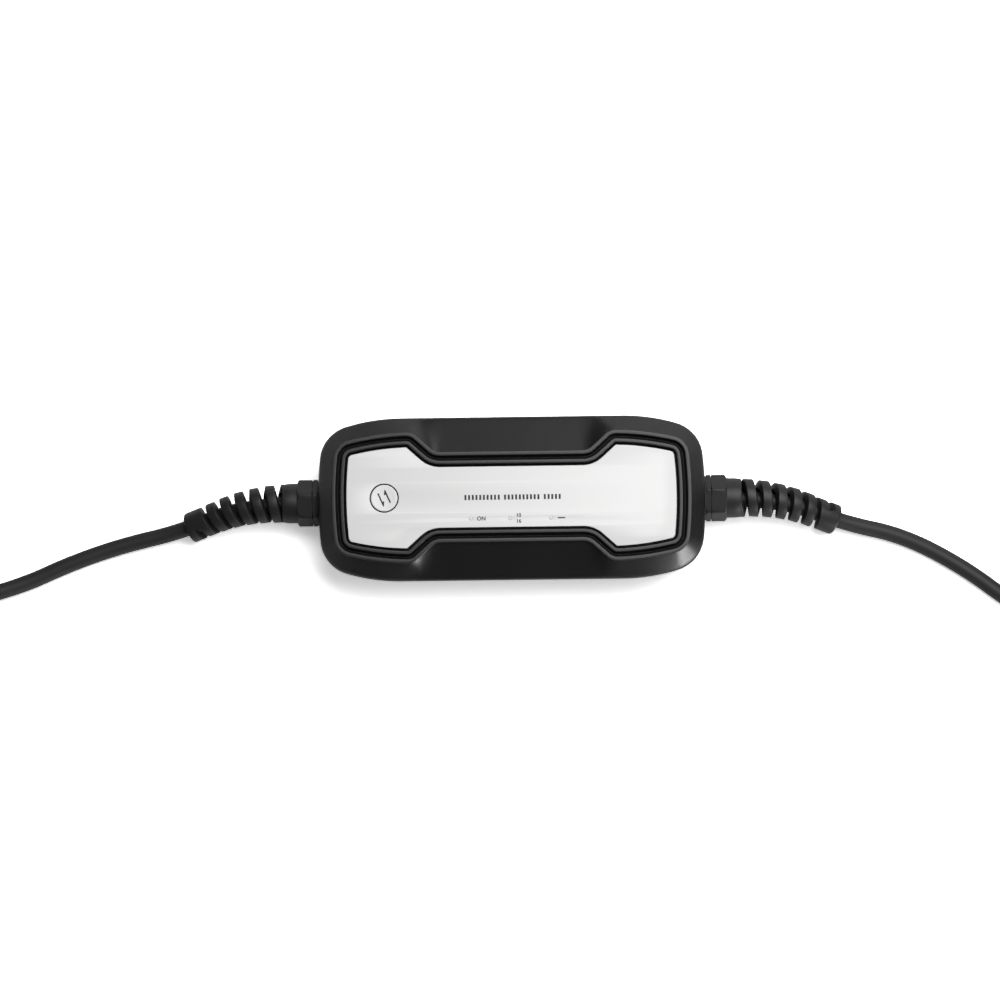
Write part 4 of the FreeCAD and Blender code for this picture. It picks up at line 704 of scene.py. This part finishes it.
def plug_head():
    """The head: a profile carried once round, its radius cut to the flat floor / cos a inside the two
    channels, and its front face drawn in to the rim of the earth hole, which lies off the axis."""
    half = math.asin(channel_half / head_radius)
    half_way = np.concatenate([np.linspace(0.0, half, 5),
                               np.linspace(half + 1e-4, math.pi - half - 1e-4, 41),
                               np.linspace(math.pi - half, math.pi, 5)])
    angle = np.concatenate([half_way, half_way[1:] + math.pi])
    inside = np.abs(np.sin(angle)) < math.sin(half) + 1e-5
    outline = softened([(0.0, 0.0), (16.9, 0.0), (19.5, 2.6), (19.5, channel_low),
                        (head_radius, channel_low), (head_radius, head_top), (17.0, head_top)],
                       (0.8, 1.4, 0.7, 0.2, 0.9), 5)
    reach, height = outline[:, :1], outline[:, 1:]
    radius = np.broadcast_to(reach, (len(outline), len(angle)))
    cut = inside[None] & ((height > channel_low) | (reach < 18.5) & (height >= channel_low - 0.01))
    channel = channel_floor / np.maximum(np.abs(np.cos(angle)), 0.5)
    radius = np.where(cut, np.minimum(radius, channel[None]), radius)
    side = round_z(radius, angle, height)
    share = np.linspace(0.0, 1.0, 7)[1:, None]
    hole = np.stack([earth_hole_x + earth_hole_radius * np.cos(angle), earth_hole_radius * np.sin(angle)],
                    axis=-1)
    face = side[-1, :, :2] * (1.0 - share[..., None]) + hole * share[..., None]
    face = np.concatenate([face, np.full(face.shape[:2] + (1,), head_top)], axis=-1)
    wall = np.concatenate([hole, np.full((len(angle), 1), earth_hole_floor)], axis=-1)
    bottom = np.broadcast_to([earth_hole_x, 0.0, earth_hole_floor], wall.shape)
    return np.concatenate([side, face, wall[None], bottom[None]])


def plug_neck():
    """The neck: a tapering round profile along the cable, turned to lie flat. Its grooves are
    exp(-(x / half)^4) deep, for the distance x from a groove's middle."""
    along = np.concatenate([[neck_start], np.linspace(neck_start, neck_reach, 120), [neck_reach]])
    taper = neck_radius - neck_fall * (along - neck_start) / (neck_reach - neck_start)
    from_middle = (along - neck_reach + 17.0) % groove_pitch - groove_pitch / 2.0
    grooves = np.exp(-(from_middle / groove_half) ** 4) * (along > neck_reach - grooved_length)
    radius = taper - grooves * (along < neck_reach - 1.0)
    radius[[0, -1]] = 0.0
    neck = turned(np.column_stack([radius, along]), 56)
    return np.stack([neck[..., 2], neck[..., 1], neck_height - neck[..., 0]], axis=-1)


plug = skin("plug_moulding", [at_plug(plug_head()), at_plug(plug_neck())], plug_black, "plug_plastic",
            "mains_plug_body", sharp=32.0)

# Pins and earth strips: nickel-plated brass. The pins are turned with rounded tips, and each strip is
# bent from flat spring stock and bulges in the middle of its channel.
strip_half, strip_thick, strip_top, strip_bulge = 2.7, 1.0, 32.0, 0.9


def metal(name, colour, roughness, scale):
    """Plated metal: a bright metallic surface with fine scratches in its gloss and a faint bump."""
    material, nodes, links, bsdf, place = shader(name, colour, roughness)
    bsdf.inputs["Metallic"].default_value = 1.0
    scratch = noise(nodes, links, place, scale, 4.0)
    links.new(spread(nodes, links, scratch, roughness - 0.06, roughness + 0.1), bsdf.inputs["Roughness"])
    tinted(nodes, links, bsdf, scratch, colour, 0.85, 1.0)
    embossed(nodes, links, bsdf, scratch, 0.2, 0.00001)
    return material


nickel = metal("nickel_plate", (0.72, 0.71, 0.68), 0.24, 900.0)
pin_profile = softened([(0.0, 35.9), (2.4, 35.9), (2.4, 55.0), (0.0, 55.0)], (0.1, 2.0), 10)
pins = [at_plug(turned(pin_profile, 40) + np.array([0.0, side * pin_offset, 0.0])) for side in (1.0, -1.0)]
plug_pins = skin("plug_pins_turned", pins, nickel, "contact_metal", "mains_plug_pins")
strips = []
for side in (1.0, -1.0):
    height = np.linspace(channel_low, strip_top, 15)
    bulge = strip_bulge * np.sin(math.pi * (height - channel_low) / (strip_top - channel_low))
    inner = np.stack([side * (channel_floor + bulge), height], axis=-1)
    outer = np.stack([side * (channel_floor + strip_thick + bulge), height], axis=-1)
    outline = np.vstack([inner, outer[::-1], inner[:1]])
    heart = np.broadcast_to(outline[:-1].mean(axis=0), outline.shape)
    rows = [np.insert(heart, 1, -strip_half, axis=1), np.insert(outline, 1, -strip_half, axis=1),
            np.insert(outline, 1, strip_half, axis=1), np.insert(heart, 1, strip_half, axis=1)]
    strips.append(at_plug(np.stack(rows)))
plug_strips = skin("plug_earth_strips", strips, nickel, "contact_metal", "mains_plug_earth_clips")

# Vehicle connector: a seven-contact coupler lying on the coil. Its handle is one soft-touch moulding
# with a ribbed grip, which swells into a collar round the flat-topped nose.
nose_tip, coupler_y, coupler_z = 351.0, 31.5, 74.2
collar_x, collar_radius, collar_bore, grip_start, grip_length = 385.0, 31.2, 27.2, 409.0, 130.0
grip_droop, oval_power, mouth_radius, mouth_depth = 14.8, 2.2, 5.4, 30.0
rib_depth, rib_pitch, rib_start, rib_end, rib_fade = 0.55, 5.0, 40.0, 108.0, 6.0


def at_nose(points):
    """Points built along Z from the collar's front, turned to point along +X at the connector's axis."""
    return np.stack([collar_x + points[..., 2], coupler_y + points[..., 1], coupler_z - points[..., 0]],
                    axis=-1)


def eased(stations, values, at):
    """Cubic Hermite curve through values at stations, with slopes by central differences."""
    slope = np.gradient(values, stations)
    index = np.clip(np.searchsorted(stations, at) - 1, 0, len(stations) - 2)
    span = stations[index + 1] - stations[index]
    t = (at - stations[index]) / span
    return (values[index] * (1 + 2 * t) * (1 - t) ** 2 + slope[index] * span * t * (1 - t) ** 2
            + values[index + 1] * t ** 2 * (3 - 2 * t) - slope[index + 1] * span * t ** 2 * (1 - t))


def handle():
    """The handle: ovals |y/a|^p + |z/b|^p = 1 on a line that droops to the cable, their half widths
    eased between stations, with shallow cross ribs low on the sides and a bore at the end."""
    stations = np.array([0.0, 0.1, 0.28, 0.55, 0.82, 1.0]) * grip_length
    at = np.linspace(0.0, grip_length, 151)
    wide = eased(stations, np.array([collar_radius, 26.8, 21.5, 20.6, 18.1, 12.0]), at)
    high = eased(stations, np.array([collar_radius, 26.2, 21.8, 21.8, 18.7, 12.0]), at)
    drop = grip_droop * eased(stations, np.array([0.0, 0.03, 0.2, 0.54, 0.84, 1.0]), at)
    angle = np.linspace(0.0, 2.0 * math.pi, 97)
    y, z = [np.sign(part) * np.abs(part) ** (2.0 / oval_power) for part in (np.cos(angle), np.sin(angle))]
    zone = np.clip((at - rib_start) / rib_fade, 0.0, 1.0) * np.clip((rib_end - at) / rib_fade, 0.0, 1.0)
    ribs = rib_depth * zone[:, None] * (0.5 - 0.5 * np.cos(2.0 * math.pi * at / rib_pitch))[:, None]
    ribs = ribs * np.clip(0.9 - 1.2 * np.sin(angle), 0.0, 1.0)
    shell = np.stack([np.broadcast_to((grip_start + at)[:, None], ribs.shape),
                      coupler_y + (wide[:, None] - ribs) * y,
                      coupler_z - drop[:, None] + (high[:, None] - ribs) * z], axis=-1)
    rear = np.array([grip_start + grip_length, coupler_y, coupler_z - grip_droop])
    ring = np.stack([np.zeros_like(angle), np.cos(angle), np.sin(angle)], axis=-1)
    bore = np.stack([rear + ring * radius + (ahead, 0.0, 0.0) for radius, ahead in
                     ((11.2, 0.3), (mouth_radius, 0.0), (mouth_radius, -mouth_depth), (0.0, -mouth_depth))])
    front = np.broadcast_to([grip_start, coupler_y, coupler_z], shell[:1].shape)
    return np.concatenate([front, shell, bore])


collar = softened([(collar_bore, 24.0), (collar_bore, 0.0), (collar_radius, 0.0), (collar_radius, 24.2),
                   (collar_bore, 24.2), (collar_bore, 24.0)], (1.0, 2.6, 0.2, 0.1), 7)
grip = skin("connector_handle", [handle(), at_nose(turned(collar, 96))], plug_black, "plug_plastic",
            "connector_grip", sharp=32.0)

# Nose: a dark grey insert with a flat top and seven round contact holes, pressed into the collar. The
# contacts are nickel-plated sleeves at the bottom of the holes.
insert_grey = moulded("insert_grey", (0.03, 0.03, 0.031), 0.46, 3600.0, 0.00003)
power_places = [(0.0, 0.0), (14.2, 0.0), (-14.2, 0.0), (7.2, -13.0), (-7.2, -13.0)]
pilot_places = [(6.8, 11.5), (-6.8, 11.5)]
nose_radius, nose_flat, nose_length = 26.5, 19.0, 54.0
flat_angle = math.asin(nose_flat / nose_radius)
nose_angle = np.linspace(math.pi - flat_angle, 2.0 * math.pi + flat_angle, 90)
nose_loop = np.column_stack([nose_radius * np.cos(nose_angle), nose_radius * np.sin(nose_angle)])
nose_holes = [circle(y, z, 4.05, 40) for y, z in power_places]
nose_holes += [circle(y, z, 3.25, 32) for y, z in pilot_places]
lay_along = Matrix(((0.0, 0.0, 1.0, nose_tip / 1000.0), (1.0, 0.0, 0.0, coupler_y / 1000.0),
                    (0.0, 1.0, 0.0, coupler_z / 1000.0), (0.0, 0.0, 0.0, 1.0)))
nose = cut_sheet("connector_nose", [nose_loop] + nose_holes, 0.0, nose_length, 0.6, insert_grey,
                 "insert_plastic", "connector_insert", place=lay_along)
sleeves, sleeve_length, sleeve_bore_depth = [], 24.0, 21.0
for places, bore, outer, recess in ((power_places, 3.1, 4.0, 2.0), (pilot_places, 1.6, 3.2, 7.0)):
    back, floor = recess + sleeve_length, recess + sleeve_bore_depth
    profile = softened([(outer, recess), (outer, back), (0.0, back), (0.0, floor), (bore, floor),
                        (bore, recess), (outer, recess)], (0.2, 0.1, 0.1, 0.1, 0.2), 4)
    for y, z in places:
        sleeve = turned(profile, 40)
        sleeves.append(np.stack([nose_tip + sleeve[..., 2], coupler_y + y + sleeve[..., 1],
                                 coupler_z + z + sleeve[..., 0]], axis=-1))
contacts = skin("connector_sleeves", sleeves, nickel, "contact_metal", "connector_contacts")

# Base and inner parts: these keep the frame's own shapes, and each takes the finish of its material.
# The base is the cover's black, boards are green laminate, terminals, relays and rubber are moulded,
# screws zinc-plated, windings lacquered, conductors copper, cans aluminium, and the fuse is glass.
finishes = {
    "housing_plastic": housing_black, "gland_plastic": gland_black, "plug_plastic": plug_black,
    "cable_jacket": jacket, "plate_finish": plate_grey, "button_plastic": button_grey,
    "clear_plastic": window_milky, "insert_plastic": insert_grey, "contact_metal": nickel,
    "seal_rubber": moulded("seal_rubber_black", (0.018, 0.018, 0.018), 0.7, 2600.0, 0.00004),
    "screw_steel": metal("zinc_plate", (0.58, 0.59, 0.6), 0.34, 1500.0),
    "switch_plastic": moulded("switch_moulding", (0.03, 0.035, 0.05), 0.45, 3600.0, 0.00002),
    "board_laminate": brushed("board_laminate", (0.02, 0.14, 0.05), 0.35, 900.0, 900.0),
    "terminal_plastic": moulded("terminal_moulding", (0.05, 0.24, 0.1), 0.45, 3200.0, 0.00002),
    "glass_tube": moulded("fuse_glass", (0.62, 0.64, 0.63), 0.12, 2000.0, 0.000002),
    "coil_winding": brushed("lacquered_winding", (0.2, 0.1, 0.03), 0.3, 1400.0, 300.0),
    "can_aluminium": metal("can_aluminium", (0.5, 0.5, 0.52), 0.36, 700.0),
    "copper_wire": metal("tinned_copper", (0.62, 0.38, 0.24), 0.3, 1200.0),
    "core_insulation": moulded("core_insulation", (0.14, 0.14, 0.18), 0.5, 3000.0, 0.00002),
}
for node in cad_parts.values():
    for material_slot in node.material_slots:
        material_slot.material = finishes[material_slot.material.name.split(".")[0]]

# Studio: a pale floor, one large soft light overhead, a low strip at the front right that draws the
# highlight on the corner, a dim low panel at the back, and dim air. The floor and the air look white
# to the camera, and the floor keeps the object's shadow.
floor_grey, floor_lift, floor_half = 0.72, 1.35, 9
glow_near, glow_far, near_reach, far_reach = 0.27, 1.0, 0.7, 1.5
air_strength = 0.12


def seen_by_camera(nodes, links, value):
    """The value where the camera looks straight at the surface, and nothing for all other light."""
    rays = nodes.new("ShaderNodeLightPath")
    return combined(nodes, links, "MULTIPLY", rays.outputs["Is Camera Ray"], value)


floor_mesh = bpy.data.meshes.new("studio_floor")
floor_mesh.from_pydata([(x * floor_half, y * floor_half, 0) for x, y in ((-1, -1), (1, -1), (1, 1), (-1, 1))],
                       [], [(0, 1, 2, 3)])
studio_floor = bpy.data.objects.new("studio_floor", floor_mesh)
bpy.context.scene.collection.objects.link(studio_floor)
floor_paint, floor_nodes, floor_links, floor_bsdf, floor_place = shader("floor_paint", (floor_grey,) * 3,
                                                                        0.9, 0.1)
floor_tone = combined(floor_nodes, floor_links, "ADD",
                      seen_by_camera(floor_nodes, floor_links, floor_lift), floor_grey)
floor_links.new(floor_tone, floor_bsdf.inputs["Base Color"])
floor_away = floor_nodes.new("ShaderNodeVectorMath")
floor_away.operation = "LENGTH"
floor_links.new(floor_place, floor_away.inputs[0])
floor_far = spread(floor_nodes, floor_links, floor_away.outputs["Value"], glow_near, glow_far,
                   near_reach, far_reach, "SMOOTHSTEP")
floor_glow = floor_nodes.new("ShaderNodeEmission")
floor_seen = combined(floor_nodes, floor_links, "MULTIPLY", floor_far,
                      seen_by_camera(floor_nodes, floor_links, 1.0))
floor_links.new(floor_seen, floor_glow.inputs["Strength"])
floor_sum = floor_nodes.new("ShaderNodeAddShader")
floor_links.new(floor_bsdf.outputs[0], floor_sum.inputs[0])
floor_links.new(floor_glow.outputs[0], floor_sum.inputs[1])
floor_links.new(floor_sum.outputs[0], floor_nodes["Material Output"].inputs["Surface"])
floor_mesh.materials.append(floor_paint)


def softbox(name, place, aim_at, size, power):
    """A flat rectangular lamp at a place, turned to face a point."""
    lamp = bpy.data.lights.new(name, "AREA")
    lamp.shape = "RECTANGLE"
    lamp.size, lamp.size_y = size
    lamp.energy = power
    body = bpy.data.objects.new(name, lamp)
    facing = (Vector(aim_at) - Vector(place)).to_track_quat("-Z", "Y").to_matrix().to_4x4()
    body.matrix_world = Matrix.Translation(place) @ facing
    body.visible_camera = False
    bpy.context.scene.collection.objects.link(body)


softbox("overhead_softbox", (0.46, 0.52, 1.46), (0.0, 0.0, 0.0), (1.3, 1.2), 28.5)
softbox("low_right_strip", (1.08, -1.19, 0.13), (0.0, 0.0, 0.05), (0.95, 0.22), 22.0)
softbox("low_back_panel", (0.7, 1.9, 0.35), (0.0, 0.0, 0.05), (2.2, 0.6), 6.5)
world = bpy.data.worlds.new("studio_air")
bpy.context.scene.world = world
world.use_nodes = True
air_nodes, air_links = world.node_tree.nodes, world.node_tree.links
air_nodes["Background"].inputs["Color"].default_value = (1.0, 1.0, 1.0, 1.0)
air_seen = combined(air_nodes, air_links, "ADD",
                    seen_by_camera(air_nodes, air_links, 1.0 - air_strength), air_strength)
air_links.new(air_seen, air_nodes["Background"].inputs["Strength"])
bpy.context.scene.view_settings.view_transform = "Standard"
